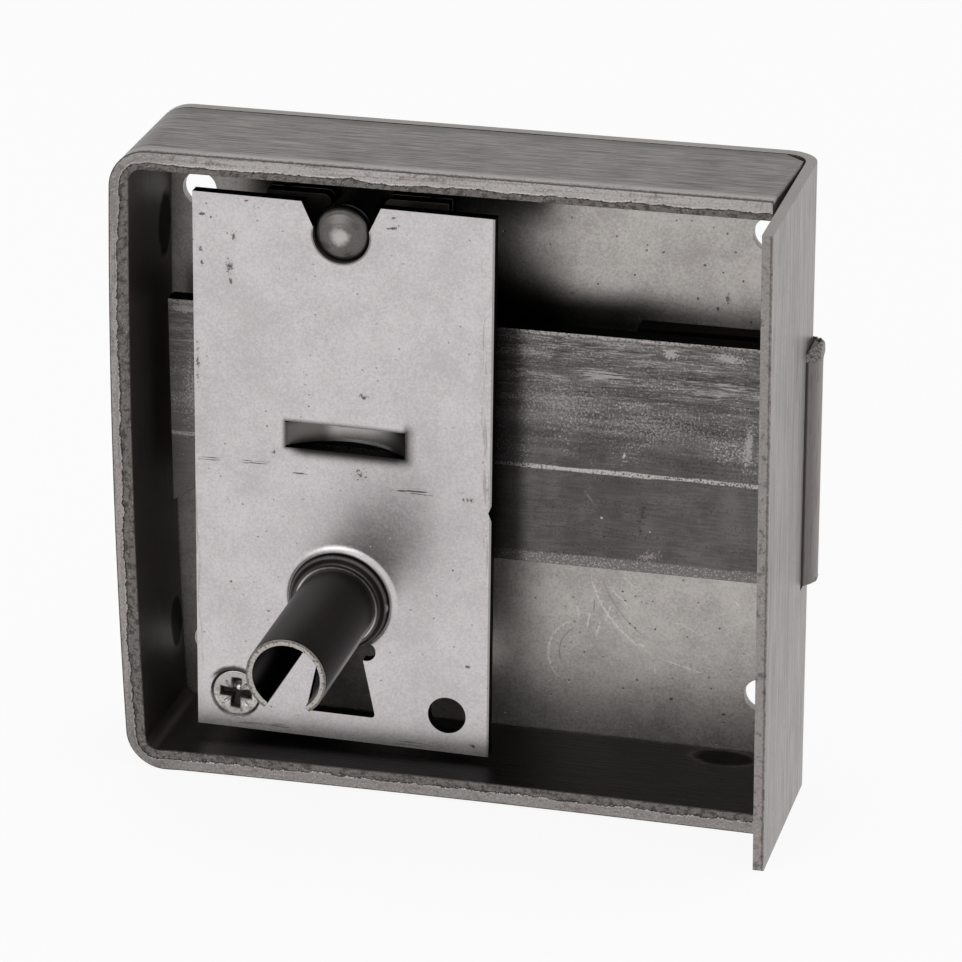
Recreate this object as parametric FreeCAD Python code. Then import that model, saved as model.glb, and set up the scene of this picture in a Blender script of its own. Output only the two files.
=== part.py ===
import FreeCAD, Part

import math
import os

# A surface-mounted cabinet lock, seen from the side that sits against the door.
# Millimetres. +X is the way the bolt is thrown, +Z is up, +Y goes from the door into the cupboard.
# The origin is where the key's axis crosses the door's inner face, which is the rim's front edge.

# Case
backset = 55.0              # key axis to the outside of the face plate
tail_reach = 25.65          # key axis to the outside of the closed end
top_reach = 56.7            # key axis to the top of the case
bottom_reach = 22.3         # key axis to the bottom of the case
rim_depth = 17.0            # rim's front edge to the back plate
rim_thickness = 2.4
rim_corner_inner = 1.5      # inside radius of the rim's two bends
rim_corner_outer = 4.8      # outside radius, where bending has thinned the strip
rim_end_gap = 1.0           # rim's sheared end to the face plate, at the front
rim_seam_gap = 0.3          # the same, at the back plate and round its bend
left_bow = 0.6              # how far the closed end bulges outwards
bottom_bow = 0.3            # how far the bottom strip is pressed in

# Back plate and face plate, folded from one sheet
plate_sheet = 1.3
plate_bend_inner = 2.7
lip_top = 11.3              # face plate past the rim's front edge, at the top
lip_bottom = 9.1            # the same, at the bottom
screw_hole_radius = 2.1
screw_hole_side_inset = 5.7
screw_hole_end_inset = 10.1

# Fixed posts, staked through the back plate
stake_shank_radius = 2.0
stake_head_radius = 2.8
stake_head_height = 0.4
stake_seat = 0.02           # radial play of a staked shank

# Top stud
stud_drop = 3.8             # cover's top edge down to the stud
stud_lean = 0.65            # the stud stands this far to the right of the key axis
stud_shank_radius = 3.1
stud_head_radius = 3.35
stud_head_edge = 0.9        # straight edge of the head, below its dome
stud_dome_rise = 1.2
stud_groove_radius = 2.6
stud_groove_length = 0.8
stud_chamfer = 0.2

# Cover plate
cover_setback = 5.9         # door face to the cover's front face
cover_thickness = 1.5
cover_width = 36.5
cover_offset = 0.2          # centreline of the plate to the right of the key hole
cover_top_gap = 4.3         # cover's top edge to the rim's inside
cover_bottom_gap = 1.3      # the same, at the bottom
notch_mouth_half = 4.8
notch_seat_clearance = 0.1
notch_seat_opening = 12.0   # degrees above level at which the seat meets the notch's sides
key_slot_top_half = 2.75
key_slot_flare_drop = 7.6   # where the slot starts to widen
key_slot_bottom_half = 4.35
key_slot_reach = 15.2
key_slot_corner = 0.45
relief_radius = 1.25        # round relief at each of the slot's upper corners, at the collar's foot
relief_half = 3.1
relief_drop = 6.5
screw_side_inset = 4.8      # the screw's hole, in from the cover's left edge
screw_end_inset = 4.5       # and up from its bottom edge
spare_side_inset = 5.2      # the empty hole, in from the right edge
spare_end_inset = 4.9
fixing_hole_radius = 2.35
countersink_radius = 3.15
countersink_bore = 1.7      # plain hole left under the cone
edge_nick_height = 13.2
edge_nick_width = 1.9
edge_nick_depth = 0.4

# Bridge, lanced out of the cover plate towards the bolt
bridge_offset = 0.5
bridge_drop = 14.2          # bolt's upper edge down to the bridge
bridge_length = 14.7
bridge_width = 2.95
bridge_slot_width = 3.35    # window round the strip, wider than the strip itself
bridge_sheet = 1.3          # the strip is drawn thinner than the plate
bridge_bolt_gap = 0.1

# Drawn collar and rolled key tube
tube_radius = 4.85
tube_wall = 0.8
tube_slit_angle = 66.0      # degrees, with the sheet's ends cut square to its surface
tube_reach = 23.4           # tube's front end past the cover's front face
tube_seat = 0.03
collar_rise = 2.2
collar_lip_wall = 0.5
collar_base_radius = 6.15
collar_fillet = 1.0
collar_back_round = 1.1

# Cover screw and its post
screw_radius = 1.5
screw_seat = 0.02
screw_head_radius = 2.9
screw_head_depth = 1.35
screw_head_sink = 0.12
screw_length = 8.0
recess_reach = 2.05
recess_half_width = 0.65
recess_depth = 1.1
recess_floor_reach = 1.25
recess_floor_half_width = 0.4
recess_turn = 3.0           # degrees
post_radius = 3.0
post_bore_depth = 8.0

# Bolt, folded double at its head
bolt_sheet = 2.4
bolt_fold_inner = 0.8
bolt_top_gap = 19.5         # bolt's upper edge to the rim's inside
bolt_bottom = 5.3           # key axis up to the bolt's lower edge
bolt_nose_reach = 1.4       # nose past the face plate, as the bolt stands
bolt_tail_gap = 1.0         # tail to the closed end's inside
bolt_double_length = 22.2   # folded layer, from the nose back
bolt_back_clearance = 0.1
bolt_slot_clearance = 0.25
bolt_slot_land = 0.4        # how far the slot's thinned edge is cut back
throw = 8.5
draw_back = 0.6
bit_sweep = 14.5            # radius that the key's bit needs
bit_clearance = 0.5
talon_width = 5.5
talon_depth = 1.7
tooth_overlap = 0.6         # bolt teeth inside the bit's sweep
tail_bevel = 34.6           # degrees

# Bolt stump and tumblers
stump_radius = 2.0
stump_shank_radius = 1.6
stump_drop = 5.3            # bolt's upper edge down to the stump
stump_tip_gap = 0.25
tumbler_sheet = 1.6
tumbler_bolt_gap = 0.25
tumbler_spacing = 0.3
spring_room = 5.7           # tumblers' tops to the rim's inside
tumbler_half_width = 11.1
tumbler_foot = 13.0
tumbler_lift = 2.5
tumbler_fork_clearance = 0.1
tumbler_fork_round = 1.0
tumbler_gate_side = 0.4
tumbler_gate_rest = 0.15    # stump to the tooth that rides on it
pocket_depth = 2.5
belly_front = 14.5          # radius of the arch that the key's bit lifts
belly_rear = 14.2

# Tumbler springs, bowed leaves under the rim's top
spring_sheet = 0.3
spring_width = 1.2
spring_foot_reach = 9.3
spring_foot_gap = 0.05
spring_crown_gap = 0.05

# Guide pin through the bolt's slot
guide_reach = 14.8
guide_drop = 8.8            # bolt's upper edge down to the pin
guide_shoulder_radius = 2.6
guide_neck_radius = 1.95
guide_shoulder_gap = 0.15
guide_slot_clearance = 0.2
guide_neck_sink = 0.3

# Places worked out from the sizes
left = -tail_reach
top = top_reach
bottom = -bottom_reach
plate_back = rim_depth + plate_sheet
face_inner = backset - plate_sheet
bend_x = face_inner - plate_bend_inner
bend_y = rim_depth - plate_bend_inner

cover_back = cover_setback + cover_thickness
cover_left = cover_offset - cover_width / 2
cover_right = cover_offset + cover_width / 2
cover_top_reach = top_reach - rim_thickness - cover_top_gap
cover_bottom_reach = bottom_reach - rim_thickness - cover_bottom_gap
stud_reach = cover_top_reach - stud_drop
stud_angle = math.degrees(math.asin(stud_lean / stud_reach))
stud_height = math.sqrt(stud_reach ** 2 - stud_lean ** 2)
screw_u = cover_left + screw_side_inset
screw_w = screw_end_inset - cover_bottom_reach
spare_u = cover_right - spare_side_inset
spare_w = spare_end_inset - cover_bottom_reach
tube_bore = tube_radius + tube_seat

bolt_depth = 2 * (bolt_sheet + bolt_fold_inner)
bolt_back = rim_depth - bolt_back_clearance
bolt_front = bolt_back - bolt_depth
tail_back = bolt_front + bolt_sheet
bolt_tail = left + rim_thickness + bolt_tail_gap
bolt_nose = backset + bolt_nose_reach
bolt_top = top_reach - rim_thickness - bolt_top_gap
bridge_height = bolt_top - bridge_drop
guide_height = bolt_top - guide_drop
sweep = bit_sweep + bit_clearance
tooth_height = bit_sweep - tooth_overlap
talon_centre = -throw / 2
stump_x = -throw / 2 + draw_back
stump_height = bolt_top - stump_drop
tumbler_top = top_reach - rim_thickness - spring_room

front_tumbler_y = tail_back + tumbler_bolt_gap
rear_tumbler_y = front_tumbler_y + tumbler_sheet + tumbler_spacing


def vec(x, y, z):
    return FreeCAD.Vector(x, y, z)


def in_xz(x, z):
    return vec(x, 0, z)


def in_xy(x, y):
    return vec(x, y, 0)


def closed_face(place, start, steps):
    """A flat face: a step of one point is a line to it, a step of two is an arc by way of the first."""
    edges = []
    here = start
    for step in list(steps) + [(start,)]:
        end = step[-1]
        if math.dist(here, end) < 1e-7:
            continue
        if len(step) == 1:
            edges.append(Part.LineSegment(place(*here), place(*end)).toShape())
        else:
            edges.append(Part.Arc(place(*here), place(*step[0]), place(*end)).toShape())
        here = end
    return Part.Face(Part.Wire(edges))


def around(centre, radius, degrees):
    """The point at an angle on a circle, both in the plane of the outline."""
    angle = math.radians(degrees)
    return (centre[0] + radius * math.cos(angle), centre[1] + radius * math.sin(angle))


def along_y(face, y0, y1):
    solid = face.extrude(vec(0, y1 - y0, 0))
    solid.translate(vec(0, y0, 0))
    return solid


def along_z(face, z0, z1):
    solid = face.extrude(vec(0, 0, z1 - z0))
    solid.translate(vec(0, 0, z0))
    return solid


def rod(x, z, radius, y0, y1):
    """A round rod along Y."""
    return Part.makeCylinder(radius, y1 - y0, vec(x, y0, z), vec(0, 1, 0))


def block(x0, x1, y0, y1, z0, z1):
    return Part.makeBox(x1 - x0, y1 - y0, z1 - z0, vec(x0, y0, z0))


def turned(x, z, start, steps):
    """A body turned about an axis along Y through (x, z), from a profile of (radius, y) points."""
    solid = closed_face(in_xy, start, steps).revolve(vec(0, 0, 0), vec(0, 1, 0), 360)
    solid.translate(vec(x, 0, z))
    return solid


def lean(shape):
    """Turns a shape built square to the key hole onto the line from the key axis to the stud."""
    leaned = shape.copy()
    leaned.rotate(vec(0, 0, 0), vec(0, 1, 0), stud_angle)
    return leaned


def screw_hole_places():
    xs = (left + screw_hole_side_inset, backset - screw_hole_side_inset)
    zs = (bottom + screw_hole_end_inset, top - screw_hole_end_inset)
    return [(x, z) for x in xs for z in zs]


def cover_screw_place():
    """Where the cover plate's screw lies in the case."""
    spot = lean(Part.Vertex(screw_u, 0, screw_w))
    return spot.X, spot.Z


# Case

def rim_corners(radius, inset):
    """Centres of the arcs at the closed end, upper and lower, for an outline set in from the outside."""
    x = left + inset + radius
    return (x, top - inset - radius), (x, bottom + inset + radius)


def rim():
    """One strip bent round two corners, with a slightly bulged end and a slightly pressed-in bottom."""
    end = face_inner
    middle_x, middle_z = (left + end) / 2, (top + bottom) / 2
    inner_left, inner_top, inner_bottom = left + rim_thickness, top - rim_thickness, bottom + rim_thickness
    upper, lower = rim_corners(rim_corner_outer, 0)
    upper_in, lower_in = rim_corners(rim_corner_inner, rim_thickness)
    section = closed_face(in_xz, (end, top), [
        ((upper[0], top),),
        (around(upper, rim_corner_outer, 135), (left, upper[1])),
        ((left - left_bow, middle_z), (left, lower[1])),
        (around(lower, rim_corner_outer, 225), (lower[0], bottom)),
        ((middle_x, bottom + bottom_bow), (end, bottom)),
        ((end, inner_bottom),),
        ((middle_x, inner_bottom + bottom_bow), (lower_in[0], inner_bottom)),
        (around(lower_in, rim_corner_inner, 225), (inner_left, lower_in[1])),
        ((inner_left - left_bow, middle_z), (inner_left, upper_in[1])),
        (around(upper_in, rim_corner_inner, 135), (upper_in[0], inner_top)),
        ((end, inner_top),),
    ])
    return along_y(section, 0, rim_depth).common(rim_reach())


def rim_reach():
    """The space left of the face plate that the rim may fill: a slanted end, rounded past the plate's bend."""
    end_radius = plate_bend_inner - rim_seam_gap
    bend = (bend_x, bend_y)
    far_left = left - 2 * left_bow
    outline = closed_face(in_xy, (far_left, 0), [
        ((face_inner - rim_end_gap, 0),),
        ((bend_x + end_radius, bend_y),),
        (around(bend, end_radius, 45), (bend_x, bend_y + end_radius)),
        ((bend_x, rim_depth),),
        ((far_left, rim_depth),),
    ])
    return along_z(outline, bottom, top)


def lock_plate():
    """Back plate, bend and face plate in one sheet, with its screw holes, bolt slot and stake holes."""
    upper, lower = rim_corners(rim_corner_outer, 0)
    back = along_y(closed_face(in_xz, (bend_x, top), [
        ((upper[0], top),),
        (around(upper, rim_corner_outer, 135), (left, upper[1])),
        ((left, lower[1]),),
        (around(lower, rim_corner_outer, 225), (lower[0], bottom)),
        ((bend_x, bottom),),
    ]), rim_depth, plate_back)

    bend = (bend_x, bend_y)
    bend_outer = plate_bend_inner + plate_sheet
    fold = along_z(closed_face(in_xy, (bend_x, plate_back), [
        (around(bend, bend_outer, 45), (backset, bend_y)),
        ((face_inner, bend_y),),
        (around(bend, plate_bend_inner, 45), (bend_x, rim_depth)),
    ]), bottom, top)

    face = block(face_inner, backset, 0, bend_y, bottom, top)
    plate = back.fuse([fold, face]).removeSplitter()
    return plate.cut(plate_cuts()).fuse(door_lip())


def door_lip():
    """The face plate's lip past the rim, set against the door's edge, so its inner face ends at the door's."""
    corners = [(0, bottom), (0, top), (-lip_top, top), (-lip_bottom, bottom)]
    wire = Part.makePolygon([vec(face_inner, y, z) for y, z in corners + corners[:1]])
    return Part.Face(wire).extrude(vec(plate_sheet, 0, 0))


def plate_cuts():
    slot_bottom, slot_top = bolt_bottom - bolt_slot_clearance, bolt_top + bolt_slot_clearance
    slot_front = bolt_front - bolt_slot_clearance
    outside = backset + plate_sheet
    cuts = [
        block(bend_x, outside, slot_front, rim_depth, slot_bottom, slot_top),
        block(face_inner - bolt_slot_land, outside, slot_front, plate_back, slot_bottom, slot_top),
    ]
    for x, z in screw_hole_places():
        cuts.append(rod(x, z, screw_hole_radius, 0, plate_back))
    for x, z in [(stud_lean, stud_height), cover_screw_place(), (guide_reach, guide_height)]:
        cuts.append(rod(x, z, stake_shank_radius + stake_seat, rim_depth, plate_back))
    return cuts


# Posts staked into the back plate

def stake_profile():
    """The (radius, y) points of a staked end, from the outermost one to the post's own foot."""
    head_back = plate_back + stake_head_height
    return [
        ((stake_head_radius - stake_head_height, head_back),),
        ((stake_head_radius, plate_back),),
        ((stake_shank_radius, plate_back),),
        ((stake_shank_radius, rim_depth),),
    ]


def stake_tip():
    return (0, plate_back + stake_head_height)


def stud():
    """The top stud: a shank for the tumblers, a groove, and the domed head that fills the cover's notch."""
    head_back = cover_back
    dome_foot = head_back - stud_head_edge
    apex = dome_foot - stud_dome_rise
    sphere = (stud_head_radius ** 2 + stud_dome_rise ** 2) / (2 * stud_dome_rise)
    half = math.asin(stud_head_radius / sphere) / 2
    dome_middle = (sphere * math.sin(half), apex + sphere * (1 - math.cos(half)))
    groove_back = head_back + stud_groove_length
    return turned(stud_lean, stud_height, stake_tip(), stake_profile() + [
        ((stud_shank_radius, rim_depth),),
        ((stud_shank_radius, groove_back + stud_chamfer),),
        ((stud_shank_radius - stud_chamfer, groove_back),),
        ((stud_groove_radius, groove_back),),
        ((stud_groove_radius, head_back),),
        ((stud_head_radius, head_back),),
        ((stud_head_radius, dome_foot),),
        (dome_middle, (0, apex)),
    ])


def cover_post():
    """The tapped post under the cover's lower left corner, its thread left plain at its outer size."""
    x, z = cover_screw_place()
    post = turned(x, z, stake_tip(), stake_profile() + [
        ((post_radius, rim_depth),),
        ((post_radius, cover_back),),
        ((0, cover_back),),
    ])
    return post.cut(rod(x, z, screw_radius + screw_seat, cover_back, cover_back + post_bore_depth))


def guide_pin():
    """The shouldered pin that carries the bolt's tail and runs in its slot."""
    shoulder = tail_back + guide_shoulder_gap
    tip = bolt_front + guide_neck_sink
    return turned(guide_reach, guide_height, stake_tip(), stake_profile() + [
        ((guide_shoulder_radius, rim_depth),),
        ((guide_shoulder_radius, shoulder),),
        ((guide_neck_radius, shoulder),),
        ((guide_neck_radius, tip),),
        ((0, tip),),
    ])


# Cover plate with its collar, bridge and key slot

def cover_outline():
    seat = stud_head_radius + notch_seat_clearance
    centre = (0, stud_reach)
    return closed_face(in_xz, (cover_left, cover_top_reach), [
        ((-notch_mouth_half, cover_top_reach),),
        (around(centre, seat, 180 - notch_seat_opening),),
        (around(centre, seat, 270), around(centre, seat, notch_seat_opening)),
        ((notch_mouth_half, cover_top_reach),),
        ((cover_right, cover_top_reach),),
        ((cover_right, -cover_bottom_reach),),
        ((cover_left, -cover_bottom_reach),),
    ])


def key_slot():
    """The bell-shaped slot for the bit, open into the tube's hole, with a round relief at each upper corner."""
    lip = cover_setback - collar_rise
    bell = along_y(closed_face(in_xz, (-key_slot_top_half, 0), [
        ((key_slot_top_half, 0),),
        ((key_slot_top_half, -key_slot_flare_drop),),
        ((key_slot_bottom_half, -key_slot_reach),),
        ((-key_slot_bottom_half, -key_slot_reach),),
        ((-key_slot_top_half, -key_slot_flare_drop),),
    ]), lip, cover_back)
    corners = [edge for edge in bell.Edges
               if edge.CenterOfMass.z < -key_slot_reach + 1e-6 and edge.BoundBox.YLength > cover_thickness]
    bell = bell.makeFillet(key_slot_corner, corners)
    reliefs = [rod(side * relief_half, -relief_drop, relief_radius, lip, cover_back) for side in (-1, 1)]
    return [bell] + reliefs


def collar():
    """The sheet drawn forwards round the key hole: a fillet, a tapering wall and a thin lip."""
    lip = cover_setback - collar_rise
    fillet_centre = (collar_base_radius + collar_fillet, cover_setback - collar_fillet)
    return turned(0, 0, (tube_bore, lip), [
        ((tube_bore + collar_lip_wall, lip),),
        ((collar_base_radius, fillet_centre[1]),),
        (around(fillet_centre, collar_fillet, 135), (fillet_centre[0], cover_setback)),
        ((fillet_centre[0], cover_back),),
        ((tube_bore, cover_back),),
    ])


def collar_back_cut():
    """The rounded mouth that drawing leaves behind the collar."""
    centre = (tube_bore + collar_back_round, cover_back - collar_back_round)
    return turned(0, 0, (0, centre[1]), [
        ((tube_bore, centre[1]),),
        (around(centre, collar_back_round, 135), (centre[0], cover_back)),
        ((0, cover_back),),
    ])


def bridge():
    """The strip between two cuts, bowed back until it nearly rides on the bolt."""
    x0, x1 = bridge_offset - bridge_length / 2, bridge_offset + bridge_length / 2
    crown_back = bolt_front - bridge_bolt_gap
    crown_front = crown_back - bridge_sheet
    bow = closed_face(in_xy, (x0, cover_setback), [
        ((bridge_offset, crown_front), (x1, cover_setback)),
        ((x1, cover_back),),
        ((bridge_offset, crown_back), (x0, cover_back)),
    ])
    return along_z(bow, bridge_height - bridge_width / 2, bridge_height + bridge_width / 2)


def edge_nick():
    """The small knock in the plate's right edge."""
    return along_y(closed_face(in_xz, (cover_right, edge_nick_height + edge_nick_width / 2), [
        ((cover_right - edge_nick_depth, edge_nick_height),),
        ((cover_right, edge_nick_height - edge_nick_width / 2),),
    ]), cover_setback, cover_back)


def countersink():
    """A right-angled cone down to the plain hole for the screw."""
    cone_foot = cover_setback + countersink_radius - countersink_bore
    return turned(screw_u, screw_w, (0, cover_setback), [
        ((countersink_radius, cover_setback),),
        ((countersink_bore, cone_foot),),
        ((countersink_bore, cover_back),),
        ((0, cover_back),),
    ])


def cover_plate():
    x0, x1 = bridge_offset - bridge_length / 2, bridge_offset + bridge_length / 2
    z0, z1 = bridge_height - bridge_slot_width / 2, bridge_height + bridge_slot_width / 2
    plate = along_y(cover_outline(), cover_setback, cover_back)
    plate = plate.cut([
        block(x0, x1, cover_setback, cover_back, z0, z1),
        rod(spare_u, spare_w, fixing_hole_radius, cover_setback, cover_back),
        countersink(),
        edge_nick(),
    ])
    plate = plate.fuse([collar(), bridge()])
    lip = cover_setback - collar_rise
    plate = plate.cut([rod(0, 0, tube_bore, lip, cover_back), collar_back_cut()] + key_slot())
    return lean(plate.removeSplitter())


def key_tube():
    """Sheet rolled to a C, its slit down towards the key slot."""
    front, back = cover_setback - tube_reach, cover_back - collar_back_round
    tube = rod(0, 0, tube_radius, front, back).cut(rod(0, 0, tube_radius - tube_wall, front, back))
    far = 2 * tube_radius
    slit = along_y(closed_face(in_xz, (0, 0), [
        (around((0, 0), far, 270 - tube_slit_angle / 2),),
        (around((0, 0), far, 270 + tube_slit_angle / 2),),
    ]), front, back)
    return lean(tube.cut(slit))


def cross(reach, half_width, y):
    """A plus-shaped outline at a depth, for the screw's recess."""
    points = []
    for turn in range(4):
        for x, z in ((reach, -half_width), (reach, half_width), (half_width, half_width)):
            angle = math.radians(90 * turn)
            points.append(vec(x * math.cos(angle) - z * math.sin(angle), y,
                              x * math.sin(angle) + z * math.cos(angle)))
    return Part.makePolygon(points + points[:1])


def cover_screw():
    """A countersunk screw with a tapered cross recess."""
    front = cover_setback + screw_head_sink
    neck = front + screw_head_depth
    screw = turned(0, 0, (0, front), [
        ((screw_head_radius, front),),
        ((screw_radius, neck),),
        ((screw_radius, front + screw_length),),
        ((0, front + screw_length),),
    ])
    floor = cross(recess_floor_reach, recess_floor_half_width, front + recess_depth)
    mouth = cross(recess_reach, recess_half_width, front)
    screw = screw.cut(Part.makeLoft([mouth, floor], True, True))
    screw.rotate(vec(0, 0, 0), vec(0, 1, 0), recess_turn)
    screw.translate(vec(screw_u, 0, screw_w))
    return lean(screw)


# Bolt and its stump

def bolt():
    """A strip folded back on itself, so that the fold is the nose, with its tail cut clear of the key's bit."""
    fold_outer = bolt_sheet + bolt_fold_inner
    fold_x, fold_y = bolt_nose - fold_outer, bolt_front + fold_outer
    double_end = bolt_nose - bolt_double_length
    strip = along_z(closed_face(in_xy, (bolt_tail, bolt_front), [
        ((fold_x, bolt_front),),
        ((bolt_nose, fold_y), (fold_x, bolt_back)),
        ((double_end, bolt_back),),
        ((double_end, bolt_back - bolt_sheet),),
        ((fold_x, bolt_back - bolt_sheet),),
        ((fold_x + bolt_fold_inner, fold_y), (fold_x, tail_back)),
        ((bolt_tail, tail_back),),
    ]), bolt_bottom, bolt_top)
    slot_radius = guide_neck_radius + guide_slot_clearance
    slot_left, slot_right = guide_reach - throw, guide_reach + draw_back
    slot = along_y(closed_face(in_xz, (slot_left, guide_height + slot_radius), [
        ((slot_right, guide_height + slot_radius),),
        ((slot_right + slot_radius, guide_height), (slot_right, guide_height - slot_radius)),
        ((slot_left, guide_height - slot_radius),),
        ((slot_left - slot_radius, guide_height), (slot_left, guide_height + slot_radius)),
    ]), bolt_front, tail_back)
    hole = rod(stump_x, stump_height, stump_shank_radius + stake_seat, bolt_front, tail_back)
    return strip.cut([bit_room(), slot, hole])


def bit_room():
    """What is cut from under the tail: the bit's sweep, the talon, and a bevel that clears the thrown bolt."""
    angle = math.radians(tail_bevel)
    under = bolt_bottom - bit_clearance
    arc_foot = math.sqrt(sweep ** 2 - bolt_bottom ** 2)
    arc_head = math.sqrt(sweep ** 2 - tooth_height ** 2)
    arc_middle = around((0, 0), sweep, math.degrees(
        (math.atan2(bolt_bottom, arc_foot) + math.atan2(tooth_height, arc_head)) / 2))
    talon_left, talon_right = talon_centre - talon_width / 2, talon_centre + talon_width / 2
    bevel_x = (math.cos(angle) * tooth_height - sweep) / math.sin(angle) - throw
    past_tail = bolt_tail - bolt_tail_gap
    bevel_foot = (sweep + math.sin(angle) * (past_tail + throw)) / math.cos(angle)
    return along_y(closed_face(in_xz, (arc_foot, under), [
        ((arc_foot, bolt_bottom),),
        (arc_middle, (arc_head, tooth_height)),
        ((talon_right, tooth_height),),
        ((talon_right, tooth_height + talon_depth),),
        ((talon_left, tooth_height + talon_depth),),
        ((talon_left, tooth_height),),
        ((bevel_x, tooth_height),),
        ((past_tail, bevel_foot),),
        ((past_tail, under),),
    ]), bolt_front, tail_back)


def bolt_stump():
    """The stump staked into the bolt, which the tumblers' gates ride on."""
    tip = rim_depth - stump_tip_gap
    return turned(stump_x, stump_height, (0, bolt_front), [
        ((stump_shank_radius, bolt_front),),
        ((stump_shank_radius, tail_back),),
        ((stump_radius, tail_back),),
        ((stump_radius, tip),),
        ((0, tip),),
    ])


# Tumblers and their springs

def gate():
    """The window for the stump: a pocket at each end of its travel, and a tooth between them."""
    side = stump_radius + tumbler_gate_side
    x0, x1 = stump_x - draw_back - side, stump_x + throw + side
    tooth_left = stump_x - draw_back + stump_radius + tumbler_gate_rest
    tooth_right = stump_x + throw - stump_radius - tumbler_gate_rest
    rest = stump_height + stump_radius + tumbler_gate_rest
    floor = stump_height - stump_radius - tumbler_lift - tumbler_gate_side
    return [
        (x0, floor), (x1, floor), (x1, rest + pocket_depth), (tooth_right, rest + pocket_depth),
        (tooth_right, rest), (tooth_left, rest), (tooth_left, rest + pocket_depth),
        (x0, rest + pocket_depth),
    ]


def tumbler(y, belly):
    """A sliding tumbler: a fork round the stud, a gate for the stump and a belly that the bit lifts."""
    fork = stud_shank_radius + tumbler_fork_clearance
    fork_centre = (stud_lean, stud_height - tumbler_lift - tumbler_gate_side)
    x0, x1 = stud_lean - tumbler_half_width, stud_lean + tumbler_half_width
    corner = tumbler_fork_round
    left_round = (stud_lean - fork - corner, tumbler_top - corner)
    right_round = (stud_lean + fork + corner, tumbler_top - corner)
    belly_half = math.sqrt(belly ** 2 - tumbler_foot ** 2)
    body = along_y(closed_face(in_xz, (x0, tumbler_top), [
        ((left_round[0], tumbler_top),),
        (around(left_round, corner, 45), (stud_lean - fork, left_round[1])),
        ((stud_lean - fork, fork_centre[1]),),
        (around(fork_centre, fork, 270), (stud_lean + fork, fork_centre[1])),
        ((stud_lean + fork, right_round[1]),),
        (around(right_round, corner, 135), (right_round[0], tumbler_top)),
        ((x1, tumbler_top),),
        ((x1, tumbler_foot),),
        ((belly_half, tumbler_foot),),
        ((0, belly), (-belly_half, tumbler_foot)),
        ((x0, tumbler_foot),),
    ]), y, y + tumbler_sheet)
    corners = gate()
    window = along_y(closed_face(in_xz, corners[0], [(point,) for point in corners[1:]]), y, y + tumbler_sheet)
    return body.cut(window)


def tumbler_spring(y):
    """A leaf bowed up against the rim, its two feet on the tumbler's fork."""
    crown = top - rim_thickness - spring_crown_gap
    foot = tumbler_top + spring_foot_gap
    middle = y + tumbler_sheet / 2
    outer_left, outer_right = stud_lean - spring_foot_reach, stud_lean + spring_foot_reach
    leaf = closed_face(in_xz, (outer_left, foot), [
        ((stud_lean, crown), (outer_right, foot)),
        ((outer_right - spring_sheet, foot),),
        ((stud_lean, crown - spring_sheet), (outer_left + spring_sheet, foot)),
    ])
    return along_y(leaf, middle - spring_width / 2, middle + spring_width / 2)


parts = {
    "lock_plate": lock_plate(),
    "rim": rim(),
    "stud": stud(),
    "cover_post": cover_post(),
    "guide_pin": guide_pin(),
    "cover_plate": cover_plate(),
    "key_tube": key_tube(),
    "cover_screw": cover_screw(),
    "bolt": bolt(),
    "bolt_stump": bolt_stump(),
    "tumbler_front": tumbler(front_tumbler_y, belly_front),
    "tumbler_rear": tumbler(rear_tumbler_y, belly_rear),
    "tumbler_spring_front": tumbler_spring(front_tumbler_y),
    "tumbler_spring_rear": tumbler_spring(rear_tumbler_y),
}

os.makedirs("parts", exist_ok=True)
for node, shape in parts.items():
    shape.exportStep(f"parts/{node}.step")
    box = shape.BoundBox
    print(f"{node}: {len(shape.Solids)} solid, valid {shape.isValid()}, {shape.Volume:.1f} mm3, "
          f"x {box.XMin:.2f} {box.XMax:.2f}, y {box.YMin:.2f} {box.YMax:.2f}, z {box.ZMin:.2f} {box.ZMax:.2f}")
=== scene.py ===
"""Looks of a bare-steel cabinet lock, seen from its door side: sheared and torn edges, brushed sheet,
a pale pitted cover plate, a dark rolled key tube and a mill-scaled bolt."""

import logging
import math
from dataclasses import dataclass, field
from enum import Enum
from functools import cached_property, reduce
from typing import Any

import bmesh
import bpy
import numpy as np
from mathutils import Matrix, Vector


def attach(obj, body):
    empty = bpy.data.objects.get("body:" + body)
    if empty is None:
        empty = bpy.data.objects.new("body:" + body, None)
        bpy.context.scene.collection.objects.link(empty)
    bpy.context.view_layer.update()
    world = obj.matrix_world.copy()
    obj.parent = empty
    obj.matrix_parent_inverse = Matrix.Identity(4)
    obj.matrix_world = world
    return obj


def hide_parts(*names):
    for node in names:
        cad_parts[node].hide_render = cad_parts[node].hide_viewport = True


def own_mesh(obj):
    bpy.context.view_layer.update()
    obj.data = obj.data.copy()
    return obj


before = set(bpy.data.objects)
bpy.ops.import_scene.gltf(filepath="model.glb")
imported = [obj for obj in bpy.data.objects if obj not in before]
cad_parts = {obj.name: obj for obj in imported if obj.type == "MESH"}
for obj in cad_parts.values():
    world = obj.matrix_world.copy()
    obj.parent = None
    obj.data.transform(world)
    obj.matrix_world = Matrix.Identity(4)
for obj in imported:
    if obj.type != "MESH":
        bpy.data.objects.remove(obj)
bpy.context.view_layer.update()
MM = 0.001
STUD_AT = (0.65, 46.195)  # x and z of the stud's axis, in millimetres
SCREW_AT = (-13.445, -13.913)  # the same of the cover's screw
NO_DEPTH = 1e6  # a half size so great that the depth along Y no longer counts
SEAM = 2e-7  # metres: points of a grid that are nearer than this are one
CAD_SEAM = 1e-6  # metres: the same in a mesh from the CAD
NO_LENGTH = 1e-7  # metres: a shorter edge is taken out
SAME_PLANE = math.radians(0.5)  # faces that meet at less than this are merged
SHARP_EDGE = math.radians(35)  # edges that are sharper than this are rounded over
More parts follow.
